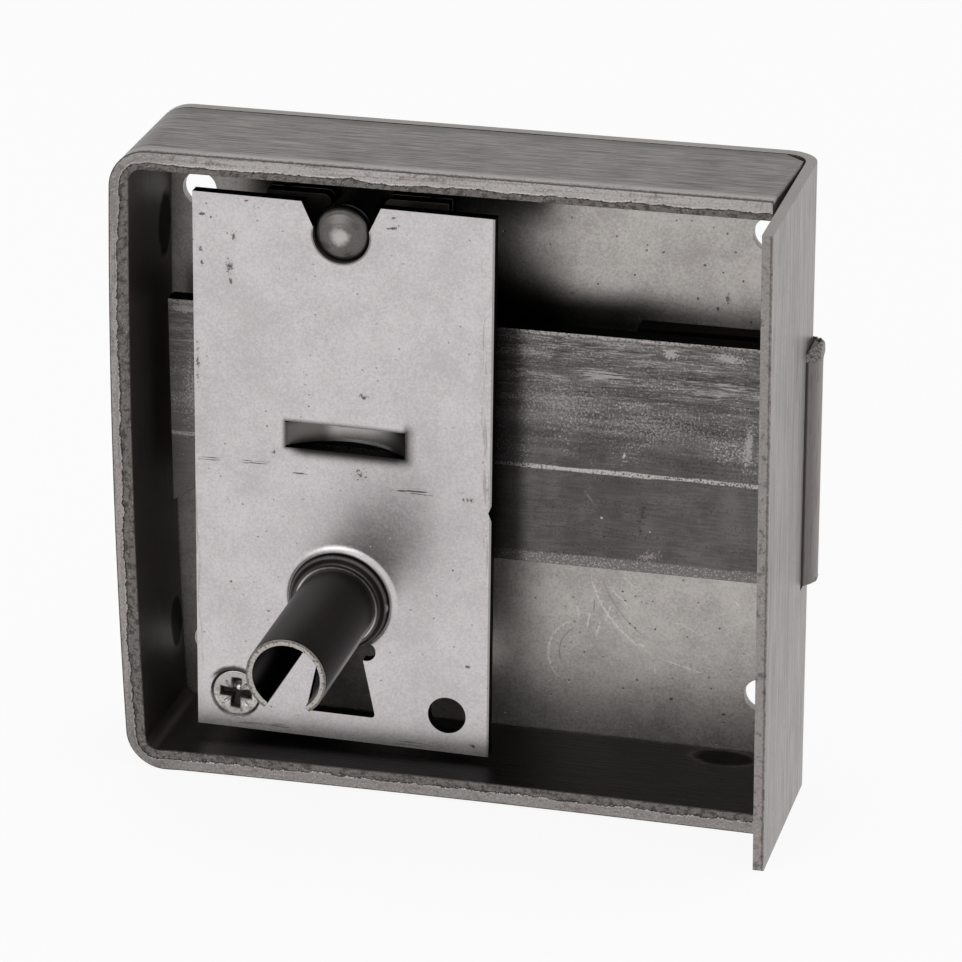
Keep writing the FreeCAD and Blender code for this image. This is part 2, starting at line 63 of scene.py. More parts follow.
LOG = logging.getLogger("cabinet_lock")

Socket = bpy.types.NodeSocket
Tree = bpy.types.NodeTree


class Body(Enum):
    """The moving bodies that a piece can ride on."""

    CASE = "case"
    BOLT = "bolt"
    FRONT_TUMBLER = "front_tumbler"
    REAR_TUMBLER = "rear_tumbler"


class Grain(Enum):
    """A steel surface's marks, as their real length in millimetres along X, Y and Z, or along a strip's map.

    Brushing lines are really some 0.05 mm wide and are drawn 0.2 to 0.3 mm wide, so that they show.
    """

    SPECK = (0.30, 0.30, 0.30)
    MOTTLE = (7.0, 7.0, 7.0)
    ALONG_X = (3.2, 0.22, 0.22)
    LONG_X = (12.0, 0.24, 0.24)
    LONG_Z = (0.26, 0.26, 11.0)
    ALONG_Z = (0.28, 0.28, 3.6)
    ALONG_STRIP = (7.0, 0.30, 1.0)


# Colour and node helpers

def hex_linear(code: str) -> tuple[float, float, float, float]:
    """Turns an sRGB hex colour to linear light.

    Args:
        code: six hex digits with a leading hash.

    Returns:
        Red, green, blue and an alpha of 1.
    """
    channels = [int(code[i:i + 2], 16) / 255 for i in (1, 3, 5)]
    return (*[c / 12.92 if c <= 0.04045 else ((c + 0.055) / 1.055) ** 2.4 for c in channels], 1.0)


def add(tree: Tree, kind: str, inputs: dict[Any, Any] | None = None, out: Any = 0, **settings: Any) -> Socket:
    """Adds one node, with its settings, and sets or links its inputs.

    Args:
        tree: the node tree.
        kind: the node's type without its ShaderNode prefix.
        inputs: input name or index to a value, or to a socket to link from.
        out: name or index of the output to hand back.
        settings: the node's own properties.

    Returns:
        The chosen output socket, or the node's first input where it has no output.
    """
    node = tree.nodes.new("ShaderNode" + kind)
    for name, value in settings.items():
        setattr(node, name, value)
    for name, value in (inputs or {}).items():
        if isinstance(value, Socket):
            tree.links.new(value, node.inputs[name])
        else:
            node.inputs[name].default_value = value
    return node.outputs[out] if node.outputs else node.inputs[0]


# Finishes

@dataclass
class Coat:
    """One material while it is being built up: where a point is, which way it faces, and its look so far."""

    tree: Tree
    place: Socket
    facing: dict[str, Socket]
    at: dict[str, Socket]
    colour: Any = None
    rough: Any = None
    height: Any = 0.0
    made: dict[Any, Socket] = field(default_factory=dict)

    def grain(self, grain: Grain, share: float = 1.0, detail: float = 4.0) -> Socket:
        """Noise round 0.5 whose bumps have a grain's real size, made once for each grain, share and detail.

        Args:
            grain: the size along each axis.
            share: a factor on that size.
            detail: how many finer layers it has.

        Returns:
            The noise.
        """
        key = (grain, share, detail)
        if key not in self.made:
            per_mm = tuple(1 / (size * share) for size in grain.value)
            place = add(self.tree, "VectorMath", {0: self.place, 1: per_mm}, operation="MULTIPLY")
            look = {"Vector": place, "Scale": 1.0, "Detail": detail, "Roughness": 0.68}
            self.made[key] = add(self.tree, "TexNoise", look)
        return self.made[key]

    def where(self, value: Any, low: float, high: float, *others: Any) -> Any:
        """A mask: 0 where value is at low and 1 where it is at high, times other masks.

        Args:
            value: what is tested.
            low: where the mask is 0; it may be the higher number.
            high: where it is 1.
            others: masks that must hold as well.

        Returns:
            The mask.
        """
        test = {"Value": value, "From Min": low, "From Max": high}
        return self.both(add(self.tree, "MapRange", test, interpolation_type="SMOOTHSTEP"), *others)

    def band(self, value: Any, limits: tuple[float, float, float, float], *others: Any) -> Any:
        """A mask that is 1 between limits 1 and 2 and has faded out at limits 0 and 3, times other masks."""
        return self.where(value, limits[0], limits[1], self.where(value, limits[3], limits[2]), *others)

    def both(self, *masks: Any) -> Any:
        """Where all masks are 1: their product."""
        return reduce(lambda one, two: add(self.tree, "Math", {0: one, 1: two}, operation="MULTIPLY"), masks)

    def either(self, *masks: Any) -> Any:
        """Where one of the masks is 1: the highest of them."""
        return reduce(lambda one, two: add(self.tree, "Math", {0: one, 1: two}, operation="MAXIMUM"), masks)

    def moved(self, value: Any, pattern: Any, amount: float) -> Socket:
        """A value that wanders with a pattern: value + amount · (pattern − 0.5)."""
        base = add(self.tree, "Math", {0: value, 1: -amount / 2}, operation="ADD")
        return add(self.tree, "Math", {0: pattern, 1: amount, 2: base}, operation="MULTIPLY_ADD")

    def squarely(self, axis: str) -> Socket:
        """How squarely the surface faces along an axis, whichever way: 1 face on and 0 edge on."""
        return add(self.tree, "Math", {0: self.facing[axis]}, operation="ABSOLUTE")

    def centred(self, x: float, z: float, half_x: float = 1.0, half_z: float = 1.0,
                turn: float = 0.0) -> Socket:
        """The place on the XZ plane seen from a spot, turned with it and measured in its half sizes.

        Args:
            x: the spot's x in millimetres.
            z: its z.
            half_x: its half length.
            half_z: its half width.
            turn: its turn in degrees, from X towards Z.

        Returns:
            The place, with the depth taken out.
        """
        frame_of_spot = {0: self.place, "Location": (x, 0.0, z), "Rotation": (0.0, -math.radians(turn), 0.0),
                         "Scale": (half_x, NO_DEPTH, half_z)}
        return add(self.tree, "Mapping", frame_of_spot, vector_type="TEXTURE")

    def reach(self, place: Socket) -> Socket:
        """How far a place is from its centre."""
        return add(self.tree, "VectorMath", {0: place}, operation="LENGTH", out="Value")

    def from_spot(self, x: float, z: float) -> Socket:
        """How far a point is from an axis along Y at x, z, in millimetres."""
        return self.reach(self.centred(x, z))

    def tint(self, mask: Any, colour: str, strength: float = 1.0) -> None:
        """Paints a hex colour where mask is 1, as strongly as strength says."""
        coats = {0: self.both(mask, strength), 6: self.colour, 7: hex_linear(colour)}
        self.colour = add(self.tree, "Mix", coats, out=2, data_type="RGBA")

    def paint(self, value: Any, low: float, high: float, colour: str, strength: float, *masks: Any) -> None:
        """Paints a hex colour where value has passed from low to high, within masks."""
        self.tint(self.where(value, low, high, *masks), colour, strength)

    def roughen(self, mask: Any, amount: float) -> None:
        """Adds roughness where mask is 1, or polishes where the amount is negative."""
        self.rough = add(self.tree, "Math", {0: mask, 1: amount, 2: self.rough}, operation="MULTIPLY_ADD")

    def raise_by(self, mask: Any, height_mm: float) -> None:
        """Adds to the height where mask is 1, or hollows where it is negative."""
        sum_of = {0: mask, 1: height_mm, 2: self.height}
        self.height = add(self.tree, "Math", sum_of, operation="MULTIPLY_ADD")

    def carried(self, name: str) -> Socket:
        """A value carried by the mesh's points."""
        return add(self.tree, "Attribute", attribute_name=name, out="Fac")


@dataclass(frozen=True)
class Mark:
    """A worn, scratched or stained spot, or a patch of painted shade, on the side that faces the door, in
    millimetres in the lock's frame.

    It is an oval that a grain breaks up: solid at its middle and scattered at its edge, or scattered all
    over where its fill is low. Long and thin it is a scratch, short and round a pit. Its turn is in degrees,
    from X towards Z.
    """

    x: float
    z: float
    half_length: float
    half_width: float
    fill: float = 0.30
    turn: float = 0.0
    colour: str = "#474140"
    strength: float = 0.85
    grain: Grain = Grain.SPECK

    def mask(self, coat: Coat) -> Socket:
        """1 where the grain, helped by nearness to the oval's middle, passes a level.

        Args:
            coat: the coat.

        Returns:
            The mask.
        """
        oval = coat.reach(coat.centred(self.x, self.z, self.half_length, self.half_width, self.turn))
        level = coat.moved(coat.grain(self.grain), oval, -self.fill)
        return coat.where(level, 0.51, 0.58, self.strength)


@dataclass(frozen=True)
class Arc(Mark):
    """A curved scratch: part of a circle with half_length as radius, between two angles from X towards Z."""

    start: float = 0.0
    end: float = 90.0

    def mask(self, coat: Coat) -> Socket:
        """1 close to the circle and between the angles, broken up by the grain.

        Args:
            coat: the coat.

        Returns:
            The mask.
        """
        seen = coat.centred(self.x, self.z, turn=self.start)
        off = coat.moved(coat.reach(seen), coat.grain(Grain.SPECK), 0.5)
        line = add(coat.tree, "Math", {0: off, 1: self.half_length, 2: self.half_width}, operation="COMPARE")
        across, along = (add(coat.tree, "SeparateXYZ", {0: seen}, out=axis) for axis in "ZX")
        angle = add(coat.tree, "Math", {0: across, 1: along}, operation="ARCTAN2")
        span = math.radians(self.end - self.start)
        broken = coat.where(coat.grain(self.grain), 0.38, 0.52)
        return coat.both(line, coat.band(angle, (0.0, 0.2, span - 0.3, span)), broken, self.strength)


@dataclass(frozen=True)
class Steel:
    """Bare steel: a metal whose colour, gloss and height follow rolling, brushing, pits and marks.

    Brushing gives long fine streaks, rolling gives soft mottling, and pits are dark specks of 0.1 mm and
    more, drawn a little coarse so that they show.
    """

    name: str
    dark: str
    light: str
    roughness: float
    grain: Grain = Grain.SPECK
    bump_mm: float = 0.010
    mottle: float = 0.35
    deep: float = 0.0
    pits: float = 0.0
    edge_shade: str = ""
    marks: tuple[Mark, ...] = ()
    use_strip_map: bool = False
    grazing: str = "#FFFFFF"
    roughness_spread: float = 0.16
    pits_per_mm: float = 0.75

    @cached_property
    def material(self) -> bpy.types.Material:
        """The finish as a material, made at its first use.

        Returns:
            The material, ready to go into a piece's slot.
        """
        material = bpy.data.materials.new(self.name)
        material.use_nodes = True
        tree = material.node_tree
        tree.nodes.clear()
        coat = self.start(tree)
        self.ground(coat)
        self.wear(coat)
        bumped = add(tree, "Bump", {"Strength": 1.0, "Distance": MM, "Height": coat.height})
        shader = add(tree, "BsdfPrincipled", {
            "Base Color": coat.colour, "Roughness": coat.rough, "Metallic": 1.0,
            "Specular Tint": hex_linear(self.grazing), "Normal": bumped})
        add(tree, "OutputMaterial", {"Surface": shader})
        return material

    def start(self, tree: Tree) -> Coat:
        """Where a point is in millimetres, and which way it faces in the lock's frame.

        Args:
            tree: the node tree.

        Returns:
            A coat with no colour yet.
        """
        raw = add(tree, "TexCoord", out="Object")
        place = add(tree, "VectorMath", {0: raw, 3: 1 / MM}, operation="SCALE")
        world = add(tree, "NewGeometry", out="Normal")
        own = add(tree, "VectorTransform", {0: world}, vector_type="NORMAL", convert_from="WORLD",
                  convert_to="OBJECT")
        at, facing = ({axis: add(tree, "SeparateXYZ", {0: both}, out=axis) for axis in "XYZ"}
                      for both in (place, own))
        if self.use_strip_map:
            place = add(tree, "UVMap", uv_map="strip_mm")
        return Coat(tree, place, facing, at)

    def brush(self, coat: Coat, grain: Grain, dark: str, light: str, mottle: float) -> Socket:
        """Streaks or specks mixed with soft mottling, between two colours.

        Args:
            coat: the coat.
            grain: the streaks' or specks' size.
            dark: the darker colour.
            light: the lighter colour.
            mottle: the mottling's share.

        Returns:
            The colour.
        """
        shade = add(coat.tree, "Mix", {0: mottle, 2: coat.grain(grain), 3: coat.grain(Grain.MOTTLE)})
        colours = {0: coat.where(shade, 0.36, 0.64), 6: hex_linear(dark), 7: hex_linear(light)}
        return add(coat.tree, "Mix", colours, out=2, data_type="RGBA")

    def ground(self, coat: Coat) -> None:
        """The sheet as rolled and brushed.

        Args:
            coat: the coat, changed in place.
        """
        grain = coat.grain(self.grain)
        coat.colour = self.brush(coat, self.grain, self.dark, self.light, self.mottle)
        coat.rough = coat.moved(self.roughness, grain, self.roughness_spread)
        coat.raise_by(grain, self.bump_mm)
        if self.deep:
            coat.paint(coat.grain(self.grain, 1.2), 0.56, 0.70, "#3B3735", self.deep)
            coat.paint(coat.grain(self.grain, 1.3), 0.40, 0.30, "#A5A09D", self.deep * 0.7)

    def wear(self, coat: Coat) -> None:
        """Pits, marks and painted shade on the side edges; marks of one colour are painted together.

        Args:
            coat: the coat, changed in place.
        """
        if self.pits:
            cells = {"Vector": coat.place, "Scale": self.pits_per_mm}
            cell = add(coat.tree, "TexVoronoi", cells, out="Distance")
            near = coat.moved(cell, coat.grain(Grain.SPECK), -0.30)
            hit = coat.where(near, 0.11, 0.03, coat.where(coat.grain(Grain.MOTTLE), 0.36, 0.54))
            coat.tint(hit, "#454040", self.pits)
            coat.raise_by(hit, -0.03)
        if self.marks:
            front = coat.where(coat.facing["Y"], -0.4, -0.8)
            for colour in dict.fromkeys(mark.colour for mark in self.marks):
                group = [mark.mask(coat) for mark in self.marks if mark.colour == colour]
                coat.tint(coat.both(coat.either(*group), front), colour)
        # painted shade on the side edges, which do not face along Y
        if self.edge_shade:
            side = coat.where(coat.squarely("Y"), 0.62, 0.30)
            coat.tint(side, self.edge_shade)
            coat.roughen(side, 0.45)


@dataclass(frozen=True)
class RimSteel(Steel):
    """The rim's strip: brushed outside, dark mill scale inside with painted shade on its floor and crevice, a
    sheared front edge that is half torn.
    """

    inside: str = "#48433F"
    # colour of the painted shade on the inside's upward faces
    floor: str = "#0E0C0B"
    corner: str = "#57524F"
    sheared: str = "#9A9593"
    lit_sheared_top: str = "#ABA6A3"
    torn: str = "#736E6B"

    def wear(self, coat: Coat) -> None:
        """Adds the dark inside with painted shade, the smooth, burred and torn zones of the sheared edge with
        painted light and shadow, and the weld burns.

        Args:
            coat: the coat, changed in place.
        """
        super().wear(coat)
        inside, front, corner = (coat.carried(name) for name in ("inside", "front", "corner"))
        speck, fine = coat.grain(Grain.SPECK, 0.9), coat.grain(Grain.SPECK, 1.5, 6.0)
        coat.tint(inside, self.inside)
        # painted shade on the inside's upward faces
        coat.paint(coat.facing["Z"], 0.4, 0.9, self.floor, 1.0, inside)
        coat.tint(coat.both(inside, corner), self.corner, 0.75)
        coat.roughen(inside, 0.10)
        # painted shade in the crevice where the strip meets the back plate
        coat.tint(coat.carried("crevice_shade"), "#0B0909", 0.95)
        # the clean shear: light ground, painted lighter along the top as lit, darker towards the bottom and
        # near the bends, then streaks, specks and stains
        coat.tint(front, self.sheared, 0.95)
        coat.tint(coat.both(front, coat.carried("top")), self.lit_sheared_top, 0.9)
        coat.paint(coat.at["Z"], -14.0, -19.0, "#7B7775", 0.5, front)
        coat.tint(coat.both(front, corner), "#6B6765", 0.45)
        coat.paint(coat.grain(Grain.ALONG_STRIP, 1.6), 0.50, 0.62, "#7B7674", 0.6, front)
        coat.paint(speck, 0.46, 0.36, "#5B5654", 0.55, front)
        coat.paint(speck, 0.55, 0.64, "#C9C4C1", 0.45, front)
        coat.paint(coat.grain(Grain.SPECK, 5.0), 0.55, 0.66, "#665B55", 0.55, front)
        # the torn zone, with a bright burr before its line and a painted shadow behind its step, in
        # millimetres
        tear = coat.moved(coat.carried("tear"), fine, 0.85)
        torn = coat.where(tear, -0.03, 0.03, front)
        coat.tint(torn, self.torn)
        coat.paint(coat.grain(Grain.SPECK, 2.8, 5.0), 0.52, 0.42, "#2B2725", 0.6, torn)
        coat.paint(speck, 0.57, 0.64, "#B4AFAB", 0.55, torn)
        coat.tint(coat.band(tear, (-0.12, -0.05, -0.03, 0.03), front), "#BDB8B5", 0.55)
        coat.tint(coat.band(tear, (0.02, 0.07, 0.10, 0.20), front), "#221F1E", 0.75)
        coat.roughen(torn, 0.2)
        coat.raise_by(coat.both(torn, speck), 0.035)
        # painted shade along the rounded edge between the outer face and the front
        coat.paint(coat.moved(coat.carried("brow"), fine, 0.9), 0.62, 1.0, "#332E2C", 0.85)
        # weld burns and their rings
        burn = coat.both(inside, coat.carried("burn"))
        coat.tint(burn, "#070505")
        coat.tint(coat.both(inside, coat.carried("burn_ring")), "#6B6562", 0.2)
        coat.roughen(burn, 0.15)


@dataclass(frozen=True)
class PlateSteel(Steel):
    """The sheet folded to back plate and face plate: mottled on its flat side, brushed on the face plate."""

    face_dark: str = "#706C6A"
    face_light: str = "#A29D9A"
    back_dark: str = "#9B9693"
    back_light: str = "#B6B1AD"
    shadow_colour: str = "#100E0D"

    def ground(self, coat: Coat) -> None:
        """Brushed along Z on the face plate's outside and along X on the back, plain sheet elsewhere.

        Args:
            coat: the coat, changed in place.
        """
        super().ground(coat)
        outside = coat.where(coat.facing["X"], 0.5, 0.8)
        behind = coat.where(coat.facing["Y"], 0.5, 0.8)
        face = self.brush(coat, Grain.LONG_Z, self.face_dark, self.face_light, 0.15)
        back = self.brush(coat, Grain.LONG_X, self.back_dark, self.back_light, 0.20)
        for side, look in ((outside, face), (behind, back)):
            coat.colour = add(coat.tree, "Mix", {0: side, 6: coat.colour, 7: look}, out=2, data_type="RGBA")
        coat.raise_by(coat.both(outside, coat.grain(Grain.LONG_Z)), 0.02)
        coat.paint(coat.grain(Grain.LONG_Z, 0.9), 0.56, 0.72, "#4A4644", 0.45, outside)
        coat.paint(coat.grain(Grain.LONG_Z, 1.3), 0.40, 0.28, "#B9B4B1", 0.4, outside)
        coat.paint(coat.grain(Grain.SPECK, 1.4), 0.63, 0.70, "#4F4A48", 0.6, outside)

    def wear(self, coat: Coat) -> None:
        """Adds painted shadow behind the works, the sheared lip, light with a dark torn line, and painted
        shade on the faces along Z.

        Args:
            coat: the coat, changed in place.
        """
        super().wear(coat)
        speck = coat.grain(Grain.SPECK)
        # painted shadow on the back plate's inside: behind the bolt and the tumblers, and round the key slot
        flat = coat.where(coat.facing["Y"], -0.6, -0.9, coat.where(coat.at["Y"], 16.6, 16.9))
        x, z = coat.moved(coat.at["X"], coat.grain(Grain.MOTTLE), 2.0), coat.at["Z"]
        works_shadow = coat.where(x, -15.0, -11.0, coat.where(z, 30.0, 34.0), flat)
        coat.paint(x, 27.5, 21.0, self.shadow_colour, 0.92, coat.where(z, 43.0, 49.0), works_shadow)
        coat.paint(x, 29.0, 21.0, self.shadow_colour, 0.90, coat.where(z, 46.0, 37.0), works_shadow)
        coat.paint(z, 39.5, 35.2, self.shadow_colour, 0.92, coat.where(x, 47.0, 31.0), works_shadow)
        key_slot_shadow = coat.band(x, (-9.0, -5.0, 9.0, 13.0), flat)
        coat.tint(coat.band(z, (-15.0, -10.0, 2.0, 6.0), key_slot_shadow), self.shadow_colour, 0.75)
        # the sheared lip of the face plate, and painted shade on the faces along Z
        lip = coat.where(coat.facing["Y"], -0.5, -0.8, coat.where(coat.at["Y"], -2.0, -6.0))
        coat.tint(lip, "#8C8784", 0.9)
        wander = coat.moved(coat.at["X"], coat.grain(Grain.SPECK, 1.5), 0.5)
        coat.tint(coat.band(wander, (54.60, 54.72, 54.82, 54.92), lip), "#3F3A39", 0.6)
        coat.paint(speck, 0.53, 0.66, "#B3AEAB", 0.35, lip)
        coat.paint(speck, 0.44, 0.34, "#57524F", 0.35, lip)
        coat.paint(coat.grain(Grain.SPECK, 3.5), 0.47, 0.36, "#4B4644", 0.6, lip)
        # painted shade on the faces that look up or down
        coat.paint(coat.squarely("Z"), 0.5, 0.9, "#6A6562", 0.7)


@dataclass(frozen=True)
class CoverSteel(Steel):
    """Pale matt sheet with a pressed bridge and a drawn collar, with painted shade round both."""

    lean: float = 0.806
    bridge: tuple[float, float] = (0.79, 20.59)
    window: tuple[float, float] = (7.35, 1.675)
    right_edge: tuple[float, float, float, float] = (17.62, 17.76, 17.90, 18.02)

    def wear(self, coat: Coat) -> None:
        """Adds the painted shades round bridge, collar, notch and screw.

        Args:
            coat: the coat, changed in place.
        """
        super().wear(coat)
        front = coat.where(coat.facing["Y"], -0.2, -0.7)
        along = self.bridge_shades(coat, front)
        # painted shade in the notch round the stud
        deep, low = coat.at["Y"], coat.where(coat.at["Z"], 47.5, 46.0)
        coat.paint(coat.from_spot(*STUD_AT), 3.75, 3.55, "#6F6B69", 0.85, low)
        # painted shade on the collar's wall and mouth
        radius = coat.from_spot(0.0, 0.0)
        wall = coat.where(radius, 6.05, 5.75, coat.where(deep, 3.78, 3.95))
        coat.tint(wall, "#262221")
        coat.roughen(wall, 0.1)
        coat.tint(coat.band(radius, (5.02, 5.14, 5.55, 5.75), coat.where(deep, 4.0, 3.9)), "#2E2A29", 0.9)
        coat.tint(coat.band(along, self.right_edge, front), "#8A8584", 0.75)
        # painted shade in the gap round the screw's head, and above it
        ring, above = coat.from_spot(*SCREW_AT), SCREW_AT[1]
        coat.paint(coat.moved(ring, coat.grain(Grain.SPECK), 0.2), 3.30, 3.05, "#3B3635", 0.8, front)
        over = coat.where(coat.at["Z"], above + 1.4, above + 2.6, front)
        coat.paint(coat.moved(ring, coat.grain(Grain.SPECK), 0.3), 3.85, 3.40, "#1D1918", 0.9, over)

    def bridge_shades(self, coat: Coat, front: Socket) -> Socket:
        """Paints shade round the window, where the metal is drawn, and on the bridge's strip, darker at both
        ends, and a highlight on its lower edge.

        away_mm is the distance outside the window's rectangle: the length of max(|place| − half sizes, 0).

        Args:
            coat: the coat, changed in place.
            front: the mask of what faces the door.

        Returns:
            The place along the cover's width, from the bridge's middle.
        """
        half_x, half_z = self.window
        seen = coat.centred(*self.bridge, turn=-self.lean)
        away = add(coat.tree, "VectorMath", {0: seen}, operation="ABSOLUTE")
        away = add(coat.tree, "VectorMath", {0: away, 1: (half_x, 0.0, half_z)}, operation="SUBTRACT")
        away = add(coat.tree, "VectorMath", {0: away, 1: (0.0, 0.0, 0.0)}, operation="MAXIMUM")
        away_mm = coat.reach(away)
        along, across = (add(coat.tree, "SeparateXYZ", {0: seen}, out=axis) for axis in "XZ")
        level = coat.where(coat.at["Y"], 6.3, 6.0)
        # painted shade on the drawn metal round the window and at its edge
        drawn = coat.where(coat.moved(away_mm, coat.grain(Grain.SPECK), 0.12), 1.75, -0.5, front, level)
        upper_left = coat.where(across, 1.2, 0.4, coat.where(along, -7.5, -4.5))
        coat.tint(coat.both(drawn, coat.either(upper_left, coat.where(along, 6.8, 7.6))), "#2B2726")
        coat.paint(away_mm, 0.62, -0.25, "#2F2B2A", 1.0, front, level)
        # the bridge's strip: painted shade over it, darker at both ends and under the slot's top edge, its
        # upright walls painted black
        within = coat.where(away_mm, 0.1, 0.0)
        strip = coat.where(coat.at["Y"], 5.93, 6.0, within)
        coat.tint(strip, "#A5A09D", 0.6)
        coat.paint(across, 0.7, 1.6, "#4A4544", 0.85, strip, front)
        coat.paint(along, 2.0, 6.9, "#332F2E", 0.75, strip)
        coat.paint(along, -1.6, -3.6, "#4A4544", 0.8, strip)
        coat.paint(coat.squarely("Z"), 0.4, 0.7, "#020202", 1.0, within,
                   coat.where(coat.at["Y"], 5.9, 6.05))
        # painted highlight along the strip's lower edge
        burr = coat.moved(across, coat.grain(Grain.ALONG_X, 0.5), 0.5)
        under = coat.where(coat.facing["Z"], 0.35, 0.05, coat.band(along, (-2.5, 0.5, 4.4, 5.8)))
        coat.paint(burr, -0.95, -1.20, "#FFFFFF", 0.95, strip, under)
        # painted shade below the window
        below = coat.where(across, -1.3, -1.8, coat.band(along, (-7.4, -5.2, 6.0, 7.5), front, level))
        coat.paint(away_mm, 1.25, -0.10, "#221F1E", 0.85, below)
        return along


@dataclass(frozen=True)
class BoltSteel(Steel):
    """Mill-scaled strip, rubbed bright in streaks along its travel, with a burr band and one long scratch."""

    def wear(self, coat: Coat) -> None:
        """Adds the rubbed streaks, the bright speckle, the scored line, the light lower edge, and painted
        shade under the cover, on the faces along Z and on the inner layer.

        Args:
            coat: the coat, changed in place.
        """
        x, height = coat.at["X"], coat.at["Z"]
        front = coat.where(coat.facing["Y"], -0.4, -0.8, coat.where(x, 53.0, 51.5))
        speck, dash = coat.grain(Grain.SPECK, 0.9), coat.grain(Grain.ALONG_X, 0.6)
        # dust gathers in clusters, mottle moves the limits of the upper zones
        cluster = coat.grain(Grain.ALONG_X, 5.0, 3.0)
        dust = coat.moved(speck, cluster, 0.34)
        zone = coat.grain(Grain.MOTTLE, 0.8, 2.0)
        upper = coat.where(coat.moved(height, zone, 6.0), 18.0, 21.0, front)
        high = coat.where(coat.moved(height, zone, 5.0), 25.0, 28.5, front)
        coat.paint(cluster, 0.42, 0.62, "#737070", 0.55, upper)
        patch = coat.where(coat.grain(Grain.MOTTLE, 0.6, 3.0), 0.42, 0.62)
        coat.paint(dust, 0.54, 0.63, "#C2BDBA", 0.65, upper, patch)
        coat.paint(dust, 0.58, 0.66, "#A39E9B", 0.45, upper)
        coat.paint(dust, 0.45, 0.37, "#353231", 0.55, front)
        coat.paint(coat.moved(dash, cluster, 0.3), 0.53, 0.64, "#A9A4A1", 0.7, high)
        coat.paint(coat.grain(Grain.ALONG_X, 1.1), 0.45, 0.35, "#393534", 0.7, high)
        # the scored line, the light lower edge and the burr band along the top
        slope = coat.moved(height, coat.grain(Grain.ALONG_X, 1.5), 0.7)
        scored = coat.band(slope, (17.36, 17.50, 17.80, 18.0), front)
        coat.paint(dust, 0.40, 0.52, "#C2BDBA", 0.85, scored)
        lower = coat.where(slope, 6.8, 6.5, front)
        coat.tint(lower, "#757070", 0.8)
        coat.paint(speck, 0.52, 0.60, "#AFAAA7", 0.7, lower)
        coat.paint(height, 34.25, 34.55, "#B4AFAC", 0.7, front, coat.where(dust, 0.42, 0.54))
        coat.paint(x, -13.0, -18.0, "#84807D", 0.3, front)
        self.nose_shades(coat)
        super().wear(coat)
        # painted shade: the cover's shadow, the level faces and the inner layer
        coat.tint(coat.band(x, (-19.0, -14.0, 20.2, 22.6), front), "#171413", 0.8)
        level = coat.where(coat.squarely("Z"), 0.35, 0.7)
        inner = coat.where(x, 53.2, 52.6)
        coat.tint(coat.both(level, inner), "#060505")
        coat.paint(coat.at["Y"], 13.0, 13.6, "#151211", 1.0, inner)
        coat.roughen(level, 0.4)

    def nose_shades(self, coat: Coat) -> None:
        """Shades the nose: light, in short streaks, with painted shade on its side towards the door and a
        painted shadow where it enters the slot.

        Args:
            coat: the coat, changed in place.
        """
        nose = coat.where(coat.at["X"], 53.5, 54.5)
        coat.tint(nose, "#8E8987", 0.85)
        coat.paint(coat.grain(Grain.ALONG_Z), 0.46, 0.36, "#5A5553", 0.6, nose)
        # painted shade on the side that faces the door
        coat.paint(coat.facing["Y"], -0.25, -0.75, "#5C5552", 0.6, nose)
        # painted shadow where the nose enters the slot
        coat.paint(coat.at["X"], 55.26, 55.08, "#2B2625", 0.85, nose)


@dataclass(frozen=True)
class TubeSteel(Steel):
    """Dark rolled sheet with a bright cut ring at its front end, and a painted shine where it is seen nearly
    edge on.
    """

    def wear(self, coat: Coat) -> None:
        """Adds the painted shine low on either side and the cut end, which is bright only near its inner
        edge.

        Args:
            coat: the coat, changed in place.
        """
        super().wear(coat)
        speck, radius = coat.grain(Grain.SPECK), coat.from_spot(0.0, 0.0)
        aside = add(coat.tree, "Math", {0: coat.at["X"]}, operation="ABSOLUTE")
        angle = add(coat.tree, "Math", {0: coat.at["Z"], 1: aside}, operation="ARCTAN2")
        outside = coat.where(radius, 4.70, 4.80, coat.where(angle, -0.1, -0.3))
        # painted shine where the tube is seen nearly edge on, low on either side
        edge_on_sheen = coat.moved(add(coat.tree, "LayerWeight", {"Blend": 0.5}, out="Facing"), speck, 0.1)
        coat.paint(edge_on_sheen, 0.70, 0.84, "#C9C4BF", 0.85, outside)
        cut = coat.where(coat.facing["Y"], -0.35, -0.75)
        coat.tint(cut, "#7C7672", 0.95)
        coat.paint(coat.moved(radius, speck, 0.6), 4.62, 4.45, "#B9B4AF", 0.8, cut)
        coat.paint(speck, 0.54, 0.62, "#4A4542", 0.7, cut)


@dataclass(frozen=True)
class PinSteel(Steel):
    """Turned steel, dull on the stud's head, with a painted highlight in its middle and painted shade round
    its edge.
    """

    plate_back: float = 17.6

    def wear(self, coat: Coat) -> None:
        """Adds the dull head with its painted highlight in the middle and painted shade at its rim, and
        painted shade on the shanks inside the case.

        Args:
            coat: the coat, changed in place.
        """
        super().wear(coat)
        radius = coat.from_spot(*STUD_AT)
        head = coat.where(coat.at["Y"], 6.6, 6.5)
        # painted shade at the head's rim
        coat.paint(radius, 2.7, 3.25, "#3B3736", 0.55, head)
        coat.paint(coat.at["Y"], 6.7, 6.5, "#55514F", 0.65)
        # painted highlight in the head's middle
        coat.paint(coat.moved(radius, coat.grain(Grain.SPECK, 3.0), 1.2), 1.45, 0.45, "#CCC8C5", 0.68, head)
        # painted shade on the shanks inside the case
        inside_case_shade = coat.band(coat.at["Y"], (6.7, 7.2, self.plate_back - 0.4, self.plate_back))
        coat.tint(inside_case_shade, "#292524", 0.85)


